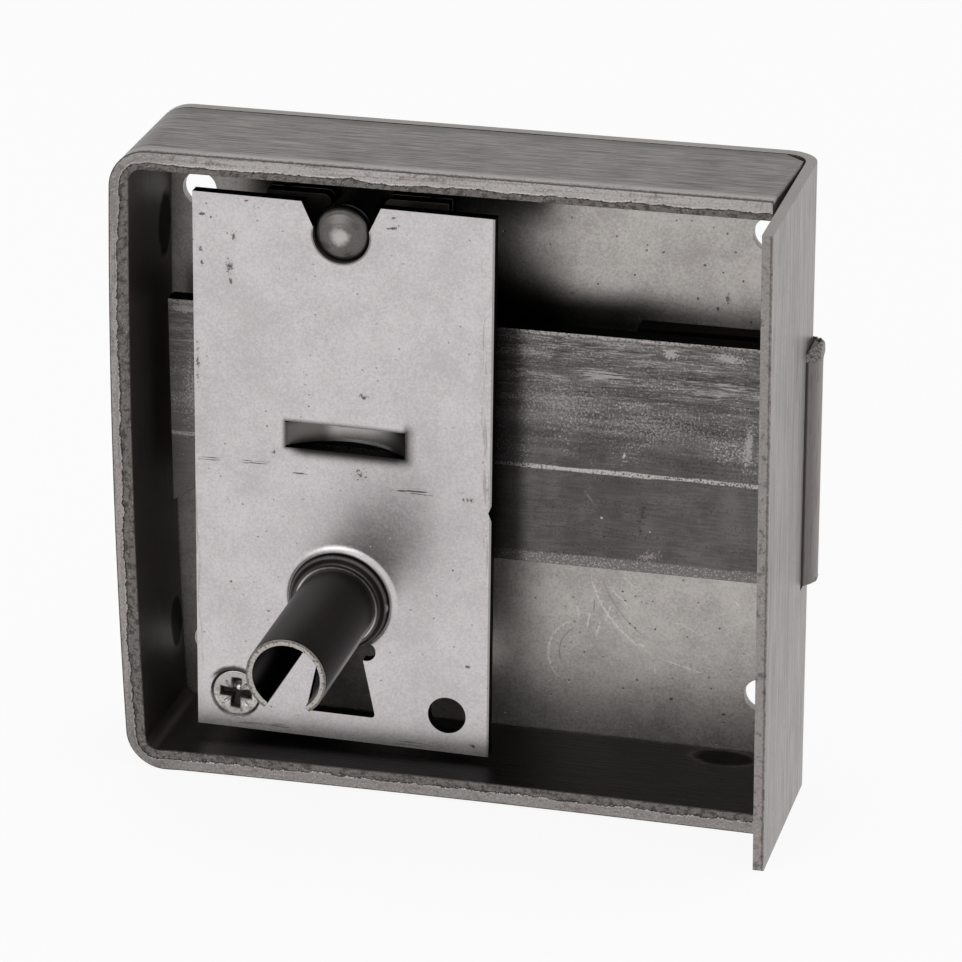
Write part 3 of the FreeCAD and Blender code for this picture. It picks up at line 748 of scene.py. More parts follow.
@dataclass(frozen=True)
class ScrewSteel(Steel):
    """Zinc-plated screw: a driver scraped the recess's mouth bright; the recess's depth is painted dark as
    shade and the face's lower half lighter as lit.
    """

    def wear(self, coat: Coat) -> None:
        """Adds the painted light on the lower half, the painted shade in the recess and the bright torn bit
        beside the middle.

        Args:
            coat: the coat, changed in place.
        """
        super().wear(coat)
        sunk = coat.carried("sunk")
        # painted light on the lower half of the face
        lower = coat.where(coat.at["Z"], -13.0, -14.8, coat.where(coat.facing["Y"], -0.4, -0.8))
        coat.paint(coat.grain(Grain.SPECK, 2.0), 0.40, 0.55, "#DEDAD7", 0.7, lower)
        # painted shade in the recess
        coat.tint(sunk, "#0F0C0C", 0.95)
        coat.roughen(sunk, 0.2)
        coat.tint(coat.carried("bright"), "#D9D5D1", 0.95)
        coat.tint(coat.carried("edge"), "#4E4947", 0.7)


# Marks by piece, in the order of Mark's fields; what a row leaves out at its end keeps its default.

COVER_MARKS = tuple(Mark(*row) for row in (
    (-16.2, 47.5, 0.75, 0.38, 0.5), (-15.1, 47.2, 0.3, 0.25), (-10.7, 49.6, 0.45, 0.3),
    (-9.3, 48.8, 0.22, 0.18, 0.6), (-12.4, 45, 0.4, 0.9, 0.14), (-16.6, 43.1, 0.5, 0.8),
    (-16.4, 41.4, 0.3, 1, 0.2), (-13, 41.3, 0.7, 1.5, 0.22), (7.1, 48.9, 0.8, 0.2, 0.3, 20),
    (-12.9, 39.4, 0.5, 1, 0.16), (6.9, 47.6, 1.3, 0.3, 0.4, 4), (2.1, 39.6, 0.2, 0.4, 0.3, -35),
    (-2.6, 36.1, 0.22, 0.2, 0.6), (-1.3, 33, 0.3, 0.5, 0.2), (4.9, 28.5, 0.2, 0.2, 0.6),
    (3.1, 26.3, 0.9, 0.6, 0.22), (-3.6, 24.5, 0.2, 0.2, 0.6), (-8.8, 21.5, 0.22, 0.2, 0.6),
    (-8, 18.2, 0.5, 0.8, 0.22), (-13.3, 16.6, 4, 0.3, 0.1, 1, "#474140", 0.85, Grain.ALONG_X),
    (-4.9, 15.8, 1.7, 0.26, 0.4, 0, "#474140", 0.85, Grain.ALONG_X), (2.6, 16.4, 1, 0.8, 0.16),
    (10, 14.9, 3.4, 0.55, 0.2, 1, "#474140", 0.85, Grain.ALONG_X), (15.9, 14.4, 1.2, 0.5, 0.25),
    (15.7, -7.2, 0.6, 0.5, 0.5, 10), (16.2, -17.6, 0.9, 0.4, 0.3, -20), (11.5, -1.3, 0.3, 0.2, 0.4),
    (11.9, 1.7, 0.25, 0.2, 0.4), (-9.1, -2.5, 0.4, 0.2), (-13.7, 0.9, 0.35, 0.3),
    (-17.2, 28.6, 0.3, 3.2, 0.16), (13.9, 5.2, 0.25, 0.2, 0.4),
    (-10.5, -17.7, 6.5, 0.45, 0.25, 1, "#77695F", 0.7, Grain.ALONG_X),
    (8, -18.2, 6.5, 0.4, 0.22, 1, "#77695F", 0.6, Grain.ALONG_X),
    (17.9, 20, 0.5, 22, 0.16, 0.8, "#8F8A89", 0.6, Grain.ALONG_Z),
    (-17.9, 10, 0.4, 26, 0.2, 0.8, "#A39692", 0.6, Grain.ALONG_Z),
))

PLATE_MARKS = tuple(Mark(*row) for row in (
    (46.1, -0.4, 3.4, 0.16, 0.6, -46, "#CFCAC6", 0.75), (39.6, -9.4, 4.6, 0.2, 0.6, -15, "#D6D1CD", 0.8),
    (27.9, -4.6, 0.22, 2.4, 0.7, -6, "#D2CDC9", 0.7), (29.1, -5.6, 0.22, 2, 0.7, -12, "#D2CDC9", 0.7),
    (26.6, -3.4, 0.22, 2.6, 0.7, 10, "#CBC6C2", 0.7), (31.6, -1, 3.6, 0.24, 0.5, -42, "#CBC6C2", 0.6),
    (33.4, 0.6, 3.2, 0.2, 0.5, -40, "#CBC6C2", 0.6), (36.2, -10.2, 0.22, 1.6, 0.7, 8, "#CFCAC6", 0.7),
    (41, -4.6, 3.8, 0.2, 0.5, -20, "#C9C4C0", 0.55), (34.6, -7.2, 0.8, 0.5, 0.4, -25, "#D6D1CD", 0.7),
    (30.4, -3.2, 0.2, 2.2, 0.6, -14, "#D2CDC9", 0.6), (28.6, -2.6, 0.2, 1.8, 0.6, -2, "#6F6A67", 0.6),
    (31, 44.9, 0.32, 0.28, 0.7), (45.2, 44.1, 0.45, 0.3, 0.6), (44.4, 38.4, 0.5, 1.1, 0.35),
    (43.2, 36.9, 0.4, 0.6, 0.5), (47.2, 35.6, 0.36, 0.3, 0.7), (38.3, -13.9, 0.4, 0.45, 0.5),
    (26.2, -4.9, 0.3, 0.26, 0.7), (34, -11.8, 0.32, 0.3, 0.7), (44.8, -15.2, 0.5, 0.35, 0.5),
    (27.4, -8.8, 0.3, 0.26, 0.7), (29.8, -9.2, 0.3, 0.26, 0.7), (25.6, 46.8, 0.3, 0.26, 0.7),
    (36.6, 43.4, 0.42, 0.28, 0.6, 30), (41.6, 42.2, 0.36, 0.3, 0.6), (33.2, 40.3, 0.26, 0.26, 0.6),
    (40.8, 38, 0.3, 0.3, 0.6), (46.2, 40.6, 0.32, 0.28, 0.6), (28.8, 38.8, 0.26, 0.24, 0.6),
)) + tuple(Arc(*row) for row in (
    (42, 4.5, 14.2, 0.13, 0.3, 0, "#CFCAC6", 0.75, Grain.SPECK, 190, 250),
    (42.6, 5.2, 13.6, 0.1, 0.3, 0, "#736E6B", 0.5, Grain.SPECK, 195, 245),
    (27.5, -9.2, 4.6, 0.15, 0.3, 0, "#CFCAC6", 0.75, Grain.SPECK, 110, 235),
    (27.9, -8.9, 3.6, 0.1, 0.3, 0, "#6F6A67", 0.55, Grain.SPECK, 115, 215),
))

BOLT_MARKS = tuple(Mark(*row) for row in (
    (39, 33.3, 2.2, 1.3, 0.42, -10, "#A8A3A0", 0.9), (45.8, 33.3, 4.2, 1.2, 0.38, -2, "#A8A3A0", 0.9),
    (31, 30, 5.5, 1, 0.22, -4, "#A8A3A0", 0.8, Grain.ALONG_X),
    (46.2, 29.8, 4.2, 0.9, 0.26, -4, "#A8A3A0", 0.85, Grain.ALONG_X),
    (26, 26, 6.5, 2.6, 0.14, 0, "#9C9794", 0.7), (37, 24, 9, 2.4, 0.1, 0, "#9C9794", 0.6),
    (48.4, 22.4, 1.1, 5.4, 0.34, -6, "#A8A3A0", 0.9), (21.5, 32, 2.6, 1.2, 0.2, 0, "#9C9794", 0.6),
    (-20, 33.6, 4, 0.9, 0.5, 0, "#A39E9B", 0.9), (-19.6, 23.5, 1.6, 7, 0.16, 0, "#A8A3A0", 0.7),
    (36.5, 7.4, 2.8, 1.1, 0.3, 12, "#8E8886", 0.8), (29.5, 14.2, 0.16, 2.6, 0.4, 38, "#8E8886", 0.6),
    (33.6, 20, 0.3, 0.8, 0.5, -20, "#C4BFBC", 0.8), (30.9, 11.8, 0.3, 0.3, 0.4, 0, "#C4BFBC", 0.8),
    (36.8, 10.6, 0.25, 0.25, 0.4, 0, "#C4BFBC", 0.7), (35.8, 12.6, 0.8, 2, 0.2, -10, "#2E2A28", 0.6),
    (35.6, 10.6, 0.35, 0.8, 0.3, 0, "#221F1D", 0.7), (31.3, 9.4, 0.3, 0.3, 0.5, 0, "#1E1B1A", 0.8),
))

# painted shade on the stud's domed head
STUD_SHADES = tuple(Mark(*row) for row in (
    (-1.2, 44.9, 1.4, 0.9, 0.7, -25, "#3F3B3A", 0.7), (2.5, 47.5, 1.5, 0.8, 0.7, -48, "#3F3B3A", 0.6),
    (1.7, 46.6, 0.5, 0.2, 0.4, -60, "#3F3B3A", 0.7),
))


class Finishes:
    """Every finish of the lock."""

    RIM = RimSteel("brushed_strip_steel", "#45413F", "#86817F", 0.42, Grain.ALONG_STRIP, 0.040, 0.12,
                   deep=0.8, use_strip_map=True)
    PLATE = PlateSteel("cold_rolled_plate_steel", "#9C9794", "#BCB7B3", 0.38, Grain.SPECK, 0.014, 0.45,
                       pits=0.85, marks=PLATE_MARKS)
    COVER = CoverSteel("matt_cover_sheet", "#B9B4B5", "#CFCACB", 0.33, Grain.SPECK, 0.006, 0.4,
                       pits=0.6, edge_shade="#110E0D", marks=COVER_MARKS)
    TUBE = TubeSteel("dark_rolled_tube_steel", "#191615", "#262221", 0.32, Grain.SPECK, 0.004, 0.5,
                     grazing="#DCDCDC")
    BOLT = BoltSteel("mill_scaled_strip", "#504D4C", "#6B6867", 0.44, Grain.ALONG_X, 0.012, 0.6,
                     marks=BOLT_MARKS)
    PIN = PinSteel("turned_pin_steel", "#6B6866", "#8B8986", 0.34, Grain.SPECK, 0.004, 0.5, marks=STUD_SHADES)
    SCREW = ScrewSteel("zinc_plated_steel", "#918D8B", "#B8B4B1", 0.34, Grain.SPECK, 0.010, 0.4)
    TUMBLER = Steel("punched_sheet_steel", "#4A4644", "#64605E", 0.44, Grain.ALONG_X, 0.008, 0.4,
                    edge_shade="#0B0908")
    BURR = Steel("struck_burr_steel", "#3F3A38", "#8B8683", 0.42, Grain.SPECK, 0.06, 0.1, deep=0.6)
    SPRING = Steel("blued_spring_steel", "#1B1817", "#2B2726", 0.36, Grain.SPECK, 0.003, 0.3)


# Surface helpers

def smooth_step(value: np.ndarray, low: float, high: float) -> np.ndarray:
    """3t² − 2t³ between low and high, 0 before and 1 after."""
    t = np.clip((value - low) / (high - low), 0, 1)
    return t * t * (3 - 2 * t)


def lattice_noise(x: np.ndarray, y: np.ndarray, cell: float, seed: int) -> np.ndarray:
    """Value noise: random heights on a square lattice, joined by smooth steps along both ways.

    Args:
        x: first coordinate, in millimetres.
        y: second coordinate, in millimetres.
        cell: lattice spacing, in millimetres.
        seed: which lattice.

    Returns:
        Heights from −1 to 1.
    """
    size = 256
    table = np.random.default_rng(seed).uniform(-1, 1, (size, size))
    fx, fy = x / cell, y / cell
    ix, iy = np.floor(fx).astype(int), np.floor(fy).astype(int)
    tx, ty = smooth_step(fx - ix, 0, 1), smooth_step(fy - iy, 0, 1)
    low, high = (table[ix % size, row % size] * (1 - tx) + table[(ix + 1) % size, row % size] * tx
                 for row in (iy, iy + 1))
    return low * (1 - ty) + high * ty


def grid_quads(rows: int, cols: int) -> list[list[int]]:
    """The faces that join each point of a grid to its neighbours along both ways."""
    index = np.arange(rows * cols).reshape(rows, cols)
    corners = [index[:-1, :-1], index[1:, :-1], index[1:, 1:], index[:-1, 1:]]
    return np.stack(corners, axis=-1).reshape(-1, 4).tolist()


def in_scene(name: str, data: Any) -> bpy.types.Object:
    """An object of a mesh, camera or lamp, linked into the scene."""
    thing = bpy.data.objects.new(name, data)
    bpy.context.scene.collection.objects.link(thing)
    return thing


def arc(centre: tuple[float, float], radius: float, start: float, end: float, count: int) -> np.ndarray:
    """Points on a circle, a count of them from a start to an end angle in degrees."""
    angle = np.radians(np.linspace(start, end, count))
    return np.stack([centre[0] + radius * np.cos(angle), centre[1] + radius * np.sin(angle)], -1)


@dataclass
class Skin:
    """A closed surface on a grid of points, in millimetres, with values carried at its points."""

    name: str
    points: np.ndarray
    values: dict[str, np.ndarray] = field(default_factory=dict)
    uv: np.ndarray | None = None

    def build(self, material: bpy.types.Material) -> bpy.types.Object:
        """Joins the grid's points by faces, welds seams and poles, and turns the faces outwards.

        The grid's last row and column repeat its first where it closes, or have shrunk to a line or point.

        Args:
            material: what it is made of.

        Returns:
            The piece, not yet riding on a body.
        """
        rows, cols = self.points.shape[:2]
        mesh = bpy.data.meshes.new(self.name)
        mesh.from_pydata((self.points.reshape(-1, 3) * MM).tolist(), [], grid_quads(rows, cols))
        for name, value in self.values.items():
            layer = mesh.attributes.new(name, "FLOAT", "POINT")
            layer.data.foreach_set("value", np.broadcast_to(value, (rows, cols)).astype(np.float32).ravel())
        if self.uv is not None:
            layer = mesh.uv_layers.new(name="strip_mm")
            corner = np.empty(len(mesh.loops), dtype=np.int32)
            mesh.loops.foreach_get("vertex_index", corner)
            layer.data.foreach_set("uv", self.uv.reshape(-1, 2)[corner].astype(np.float32).ravel())
        work = bmesh.new()
        work.from_mesh(mesh)
        bmesh.ops.remove_doubles(work, verts=work.verts, dist=SEAM)
        bmesh.ops.dissolve_degenerate(work, edges=work.edges, dist=NO_LENGTH)
        if work.calc_volume(signed=True) < 0:
            bmesh.ops.reverse_faces(work, faces=work.faces)
        work.to_mesh(mesh)
        work.free()
        mesh.shade_smooth()
        mesh.materials.append(material)
        return in_scene(self.name, mesh)


def turned_skin(name: str, centre: tuple[float, float], profile: np.ndarray, around: int = 160) -> Skin:
    """A turned piece: each (radius, y) point of the profile carried round an axis along Y.

    Args:
        name: the piece's name.
        centre: the axis's x and z.
        profile: rows of radius and y, starting and ending on the axis.
        around: steps round the axis.

    Returns:
        The surface: x = centre + r cos a, z = centre + r sin a, y from the profile.
    """
    angle = np.linspace(0, 2 * np.pi, around + 1)[None, :]
    radius, y = profile[:, :1], profile[:, 1:] + 0 * angle
    points = [centre[0] + radius * np.cos(angle), y, centre[1] + radius * np.sin(angle)]
    return Skin(name, np.stack(points, -1))


def rounded_profile(corners: list[tuple[float, float]], radius: float, steps: int = 4,
                    span: float = 0.6) -> np.ndarray:
    """A line through corners with each one rounded, and extra points along the straight runs.

    Each corner is replaced by a quadratic curve that leaves and joins the runs a radius away from it.

    Args:
        corners: the line's corners; the first and last stay sharp.
        radius: how far from a corner its rounding starts, at most 0.45 of the shorter run.
        steps: points along each rounding.
        span: longest step along a run, in millimetres.

    Returns:
        The rounded line's points.
    """
    spots = np.array(corners, dtype=float)
    line = [spots[:1]]
    for before, here, after in zip(spots[:-2], spots[1:-1], spots[2:]):
        reach = min(radius, 0.45 * np.linalg.norm(here - before), 0.45 * np.linalg.norm(after - here))
        enter = here + (before - here) / np.linalg.norm(before - here) * reach
        leave = here + (after - here) / np.linalg.norm(after - here) * reach
        t = np.linspace(0, 1, steps + 1)[:, None]
        line.append((1 - t) ** 2 * enter + 2 * t * (1 - t) * here + t ** 2 * leave)
    line.append(spots[-1:])
    path = np.concatenate(line)
    fine = [path[:1]]
    for a, b in zip(path[:-1], path[1:]):
        count = max(1, math.ceil(np.linalg.norm(b - a) / span))
        fine.append(a + (b - a) * np.linspace(0, 1, count + 1)[1:, None])
    return np.concatenate(fine)


def place_piece(piece: bpy.types.Object, body: Body, slot: str, *nodes: str) -> bpy.types.Object:
    """Puts a piece on its body and hides the CAD nodes that it stands for.

    Args:
        piece: the piece.
        body: what it rides on.
        slot: not used.
        nodes: the nodes that it replaces, if any.

    Returns:
        The piece.
    """
    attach(piece, body.value)
    if nodes:
        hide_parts(*nodes)
    LOG.info("%s: %d faces, rides on %s", piece.name, len(piece.data.polygons), body.value)
    return piece


# Case

@dataclass
class RimStrip:
    """The thick strip bent round three sides of the case, in millimetres."""

    left: float = -25.65
    face: float = 53.7
    top: float = 56.7
    bottom: float = -22.3
    depth: float = 17.0
    thickness: float = 2.4
    corner_inner: float = 1.5
    corner_outer: float = 4.8
    left_bow: float = 0.6
    bottom_bow: float = 0.3
    end_gap: float = 1.0
    bend_x: float = 51.0
    bend_y: float = 14.3
    bend_radius: float = 2.4
    side_rows: int = 380
    edge_round: float = 0.12
    torn_step: float = 0.05
    torn_rough: float = 0.13
    burr_height: float = 0.04
    bends_at: tuple[float, float] = (78.0, 152.0)
    welds: tuple[tuple[float, ...], ...] = (
        (-23.3, 14.2, 42.9, 3.0, 2.6, 4.4), (-23.3, 14.4, -9.0, 3.0, 2.3, 3.6),
        (45.4, 14.5, -19.9, 3.8, 2.1, 3.0), (40.0, 14.5, 54.3, 3.8, 2.2, 3.0),
        (-6.0, 14.5, 54.3, 3.8, 2.2, 3.0), (3.0, 14.5, -19.9, 3.8, 2.2, 3.0))

    def path(self, radius: float, inset: float) -> np.ndarray:
        """One side of the strip's path as (x, z): top, corner, left end, corner, bottom.

        The runs are lines and quarter circles, and a bow is added as 1 − s² along a run.

        Args:
            radius: the corner's radius on this side.
            inset: how far this side lies inside the outline.

        Returns:
            The path, with the same number of points for either side.
        """
        left, top, bottom = self.left + inset, self.top - inset, self.bottom + inset
        centre = left + radius
        run = np.linspace(0, 1, self.side_rows)
        middle, half = (self.left + self.face) / 2, (self.face - self.left) / 2
        run_x = centre + run * (self.face - centre)
        bow = self.bottom_bow * (1 - ((run_x - middle) / half) ** 2) * smooth_step(run, 0, 0.03)
        tall = top - radius + run * (bottom + radius - top + radius)
        return np.concatenate([
            np.stack([run_x[::-1], np.full_like(run, top)], -1),
            arc((centre, top - radius), radius, 90, 180, 25),
            np.stack([left - self.left_bow * (1 - (2 * run - 1) ** 2), tall], -1),
            arc((centre, bottom + radius), radius, 180, 270, 25),
            np.stack([run_x, bottom + bow], -1),
        ])

    def end_x(self, depth: np.ndarray) -> np.ndarray:
        """Where the strip's two ends lie at a depth: slanted up to the sheet's bend, then round it.

        Args:
            depth: y, in millimetres.

        Returns:
            The x of the ends.
        """
        start, finish = self.face - self.end_gap, self.bend_x + self.bend_radius
        past = np.clip(depth - self.bend_y, 0, self.bend_radius)
        curve = self.bend_x + np.sqrt(np.maximum(self.bend_radius ** 2 - past ** 2, 0))
        return np.where(depth < self.bend_y, start + depth / self.bend_y * (finish - start), curve)

    def section(self) -> np.ndarray:
        """The strip's section as one closed loop of (share across the thickness, y), outer face first.

        Returns:
            The loop's points, with the front edge's ones close together.
        """
        small, far, back = self.edge_round, self.thickness - self.edge_round, self.depth - 0.3
        outer, front = np.linspace(back, small, 9), np.linspace(small, far, 32)
        inner = np.linspace(small, back, 44)
        return np.concatenate([
            np.stack([0 * outer, outer], -1), arc((small, small), small, 180, 270, 5)[1:-1],
            np.stack([front, 0 * front], -1), arc((far, small), small, 270, 360, 5)[1:-1],
            np.stack([0 * inner + self.thickness, inner], -1),
            arc((self.thickness - 0.3, back), 0.3, 0, 90, 4)[1:], arc((0.3, back), 0.3, 90, 180, 4),
        ])

    def build(self) -> bpy.types.Object:
        """Carries the section along the path: a point is outer·(1 − w) + inner·w, its front edge torn back.

        Returns:
            The rim.
        """
        outer, inner = self.path(self.corner_outer, 0.0), self.path(self.corner_inner, self.thickness)
        loop = self.section()
        along, around = (np.concatenate([[0], np.cumsum(np.linalg.norm(np.diff(line, axis=0), axis=1))])
                         for line in ((outer + inner) / 2, loop))
        share = (loop[:, 0] / self.thickness)[None, :, None]
        flat = outer[:, None, :] * (1 - share) + inner[:, None, :] * share
        u, w = np.broadcast_arrays(along[:, None], loop[None, :, 0])
        depth = np.broadcast_to(loop[None, :, 1], u.shape).copy()
        front = smooth_step(-depth, -0.5, -0.1)
        tear = w - self.tear_line(u)
        torn = smooth_step(tear, 0.0, 0.15) * front
        burr = np.exp(-(tear / 0.09) ** 2) * front
        rough = 0.5 + 0.5 * lattice_noise(u, w, 0.5, 3)
        depth += torn * (self.torn_step + self.torn_rough * rough) + front * (1 - burr) * self.burr_height
        right = self.end_x(np.clip(depth, 0, self.depth))
        centre = self.left + self.corner_outer
        beyond = np.clip((flat[:, :, 0] - centre) / (self.face - centre), 0, 1)
        x = np.where(flat[:, :, 0] > centre, centre + beyond * (right - centre), flat[:, :, 0])
        points = self.capped(np.stack([x, depth, flat[:, :, 1]], -1))
        values = {
            # top marks the top run, where the sheared edge is painted lighter as lit
            "tear": tear, "front": front, "corner": self.near_corner(u), "top": smooth_step(-u, -80.0, -76.0),
            "inside": smooth_step(w, self.thickness - 0.1, self.thickness) * smooth_step(depth, 0.15, 0.35),
            "crevice_shade": smooth_step(depth, self.depth - 0.4, self.depth - 0.25),
            # brow: the rounded outer front edge, where shade is painted
            "brow": (1 - smooth_step(w, 0.14, 0.26)) * (1 - smooth_step(depth, 0.10, 0.42)),
        }
        values = {name: self.padded(value) for name, value in values.items()}
        oval = self.weld_distance(points)
        values["burn"] = 1 - smooth_step(oval, 0.80, 1.0)
        values["burn_ring"] = smooth_step(oval, 0.98, 1.05) * (1 - smooth_step(oval, 1.08, 1.25))
        uv = self.padded(np.stack(np.broadcast_arrays(along[:, None], around[None, :]), -1))
        skin = Skin("rim_strip", points, values, uv)
        return place_piece(skin.build(Finishes.RIM.material), Body.CASE, "rim_steel", "rim")

    def tear_line(self, u: np.ndarray) -> np.ndarray:
        """How far across the edge the clean shear reaches before the metal tore.

        It is 1.5 mm along the top, 1.05 mm down the closed end and 1.4 mm along the bottom, and three noises
        make it wander.

        Args:
            u: length along the strip.

        Returns:
            The line's distance from the outer face.
        """
        level = 1.5 - 0.45 * smooth_step(u, 74, 86) + 0.35 * smooth_step(u, 148, 158)
        return (level + 0.14 * lattice_noise(u, 0 * u, 5.0, 1) + 0.10 * lattice_noise(u, 0 * u, 1.3, 2)
                + 0.08 * lattice_noise(u, 0 * u, 0.5, 5))

    def near_corner(self, u: np.ndarray) -> np.ndarray:
        """1 next to either bend, where the scale cracked off as the strip was bent, and 0 past 12 mm from it.

        Args:
            u: length along the strip.

        Returns:
            The mask.
        """
        away = np.minimum(*(np.abs(u - bend) for bend in self.bends_at))
        return smooth_step(-away + 2.0 * lattice_noise(u, 0 * u, 3.0, 7), -12.0, -3.0)

    def padded(self, value: np.ndarray) -> np.ndarray:
        """A grid's values with the first and last row repeated for the two caps."""
        return np.concatenate([value[:1], value, value[-1:]])

    def capped(self, points: np.ndarray) -> np.ndarray:
        """Closes both ends: each end row shrinks to the strip's middle plane.

        Args:
            points: the swept grid.

        Returns:
            The grid with one more row at each end.
        """
        closed = self.padded(points).copy()
        closed[0, :, 2] = self.top - self.thickness / 2
        closed[-1, :, 2] = self.bottom + self.thickness / 2
        return closed

    def weld_distance(self, points: np.ndarray) -> np.ndarray:
        """How far each point is from the nearest weld, in that weld's half sizes, with a ragged edge.

        Args:
            points: the grid.

        Returns:
            0 at a weld's middle, 1 at its edge.
        """
        spots = np.array(self.welds)
        off = (points[..., None, :] - spots[:, :3]) / spots[:, 3:]
        ragged = lattice_noise(points[..., 1] * 2.0, points[..., 2] + points[..., 0], 1.2, 9)
        return np.linalg.norm(off, axis=-1).min(axis=-1) + 0.07 * ragged


@dataclass
class CadSheet:
    """A punched or folded piece whose CAD shape is kept, with its edges rounded over."""

    node: str
    piece: str
    body: Body
    slot: str
    finish: Steel
    edge_mm: float = 0.12
    segments: int = 2

    def build(self) -> bpy.types.Object:
        """Copies the node's mesh, merges its loose triangles and rounds every edge sharper than 35 degrees.

        Returns:
            The piece that stands for the node.
        """
        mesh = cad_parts[self.node].data.copy()
        mesh.name = self.piece
        work = bmesh.new()
        work.from_mesh(mesh)
        bmesh.ops.remove_doubles(work, verts=work.verts, dist=CAD_SEAM)
        bmesh.ops.dissolve_limit(work, angle_limit=SAME_PLANE, verts=work.verts, edges=work.edges)
        work.to_mesh(mesh)
        work.free()
        mesh.shade_smooth()
        mesh.materials.clear()
        mesh.materials.append(self.finish.material)
        piece = in_scene(self.piece, mesh)
        rounding = piece.modifiers.new("broken_edge", "BEVEL")
        rounding.width = self.edge_mm * MM
        rounding.segments = self.segments
        rounding.limit_method = "ANGLE"
        rounding.angle_limit = SHARP_EDGE
        flat = piece.modifiers.new("flat_faces", "WEIGHTED_NORMAL")
        flat.mode = "FACE_AREA"
        flat.weight = 100
        return place_piece(piece, self.body, self.slot, self.node)


@dataclass
class LeafSpring(CadSheet):
    """A bowed leaf under the rim's top, which its tumbler presses flatter as it rises."""

    joint: str = ""
    lift_mm: float = 2.5

    def build(self) -> bpy.types.Object:
        """Makes the leaf from its CAD node, with a mesh of its own.

        Returns:
            The spring.
        """
        piece = super().build()
        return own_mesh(piece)


# Key tube, stud, screw and burrs

@dataclass
class KeyTube:
    """Sheet rolled to a C, its slit down, in millimetres."""

    radius: float = 4.85
    wall: float = 0.8
    slit_degrees: float = 66.0
    front: float = -17.5
    back: float = 6.3
    edge: float = 0.12

    def build(self) -> bpy.types.Object:
        """Carries the C along Y: its wall and angle shrink near each end, so that all edges are round.

        A point on the C is (r sin a, y, r cos a) with r = middle ± half wall, out along one side and back
        along the other, and the rows past an end shrink to the middle of the wall.

        Returns:
            The tube.
        """
        turn = np.linspace(0, np.pi / 2, 6)
        inset, step = self.edge * (1 - np.sin(turn)), self.edge * (1 - np.cos(turn))
        run = np.linspace(self.front + 0.5, self.back - 0.5, 40)
        half = self.wall / 2
        middle = self.radius - half
        front_end, back_end = self.front + step, (self.back - step)[::-1]
        depth = np.concatenate([[self.front], front_end, run, back_end, [self.back]])[:, None]
        shrink = np.concatenate([[half], inset, 0 * run, inset[::-1], [half]])[:, None]
        side, tip = np.linspace(-1, 1, 150), np.linspace(0, 1, 7)[1:-1]
        swell, flat = np.sqrt(1 - (1 - 2 * tip) ** 2), np.ones_like(side)
        across = np.concatenate([flat, 1 - 2 * tip, -flat, -1 + 2 * tip, [1.0]])[None, :]
        share = np.concatenate([side, np.ones(5), side[::-1], -np.ones(6)])[None, :]
        bulge = np.concatenate([0 * flat, swell, 0 * flat, swell, [0.0]])[None, :]
        half_turn = math.radians(180 - self.slit_degrees / 2) - (self.edge * (1 - bulge) + shrink) / middle
        angle = half_turn * share
        radius = middle + (half - shrink) * across
        ragged = 0.05 * lattice_noise(30 * angle, 0 * angle, 1.3, 22) * smooth_step(-depth, 15, 17.4)
        points = np.stack([radius * np.sin(angle), depth + np.abs(ragged), radius * np.cos(angle)], -1)
        skin = Skin("key_guide_tube", points)
        return place_piece(skin.build(Finishes.TUBE.material), Body.CASE, "tube_steel", "key_tube")


@dataclass
class TopStud:
    """The staked stud with its domed and centre-punched head, in millimetres."""

    head: float = 3.35
    shank: float = 3.1
    groove: float = 2.6
    cover_back: float = 7.4
    apex: float = 5.3
    dome_foot: float = 6.5
    plate_front: float = 17.0
    plate_back: float = 18.3
    tenon: float = 2.0
    staked: float = 2.8
    staked_depth: float = 0.4
    corner: float = 0.14

    def build(self) -> bpy.types.Object:
        """Turns the stud: the dome is a sphere's cap with a shallow punch mark and fine tool rings.

        Returns:
            The stud.
        """
        rise = self.dome_foot - self.apex
        sphere = (self.head ** 2 + rise ** 2) / (2 * rise)
        brow = self.head - 0.12
        r = np.linspace(0, brow, 60)
        dome = self.apex + sphere - np.sqrt(sphere ** 2 - r ** 2)
        dome += 0.10 * np.exp(-(r / 0.45) ** 2) + 0.005 * np.sin(r * 14) * smooth_step(r, 0.6, 1.4)
        under, front, back = self.cover_back, self.plate_front, self.plate_back
        behind = back + self.staked_depth
        rest = rounded_profile([
            (brow, float(dome[-1])), (self.head, self.dome_foot + 0.06), (self.head, under),
            (self.groove, under), (self.groove, under + 0.8), (self.shank, under + 1.0), (self.shank, front),
            (self.tenon, front), (self.tenon, back), (self.staked, back),
            (self.staked - self.staked_depth, behind), (0.0, behind)], self.corner)
        profile = np.concatenate([np.stack([r, dome], -1), rest[1:]])
        skin = turned_skin("top_stud", STUD_AT, profile)
        return place_piece(skin.build(Finishes.PIN.material), Body.CASE, "pin_steel", "stud")


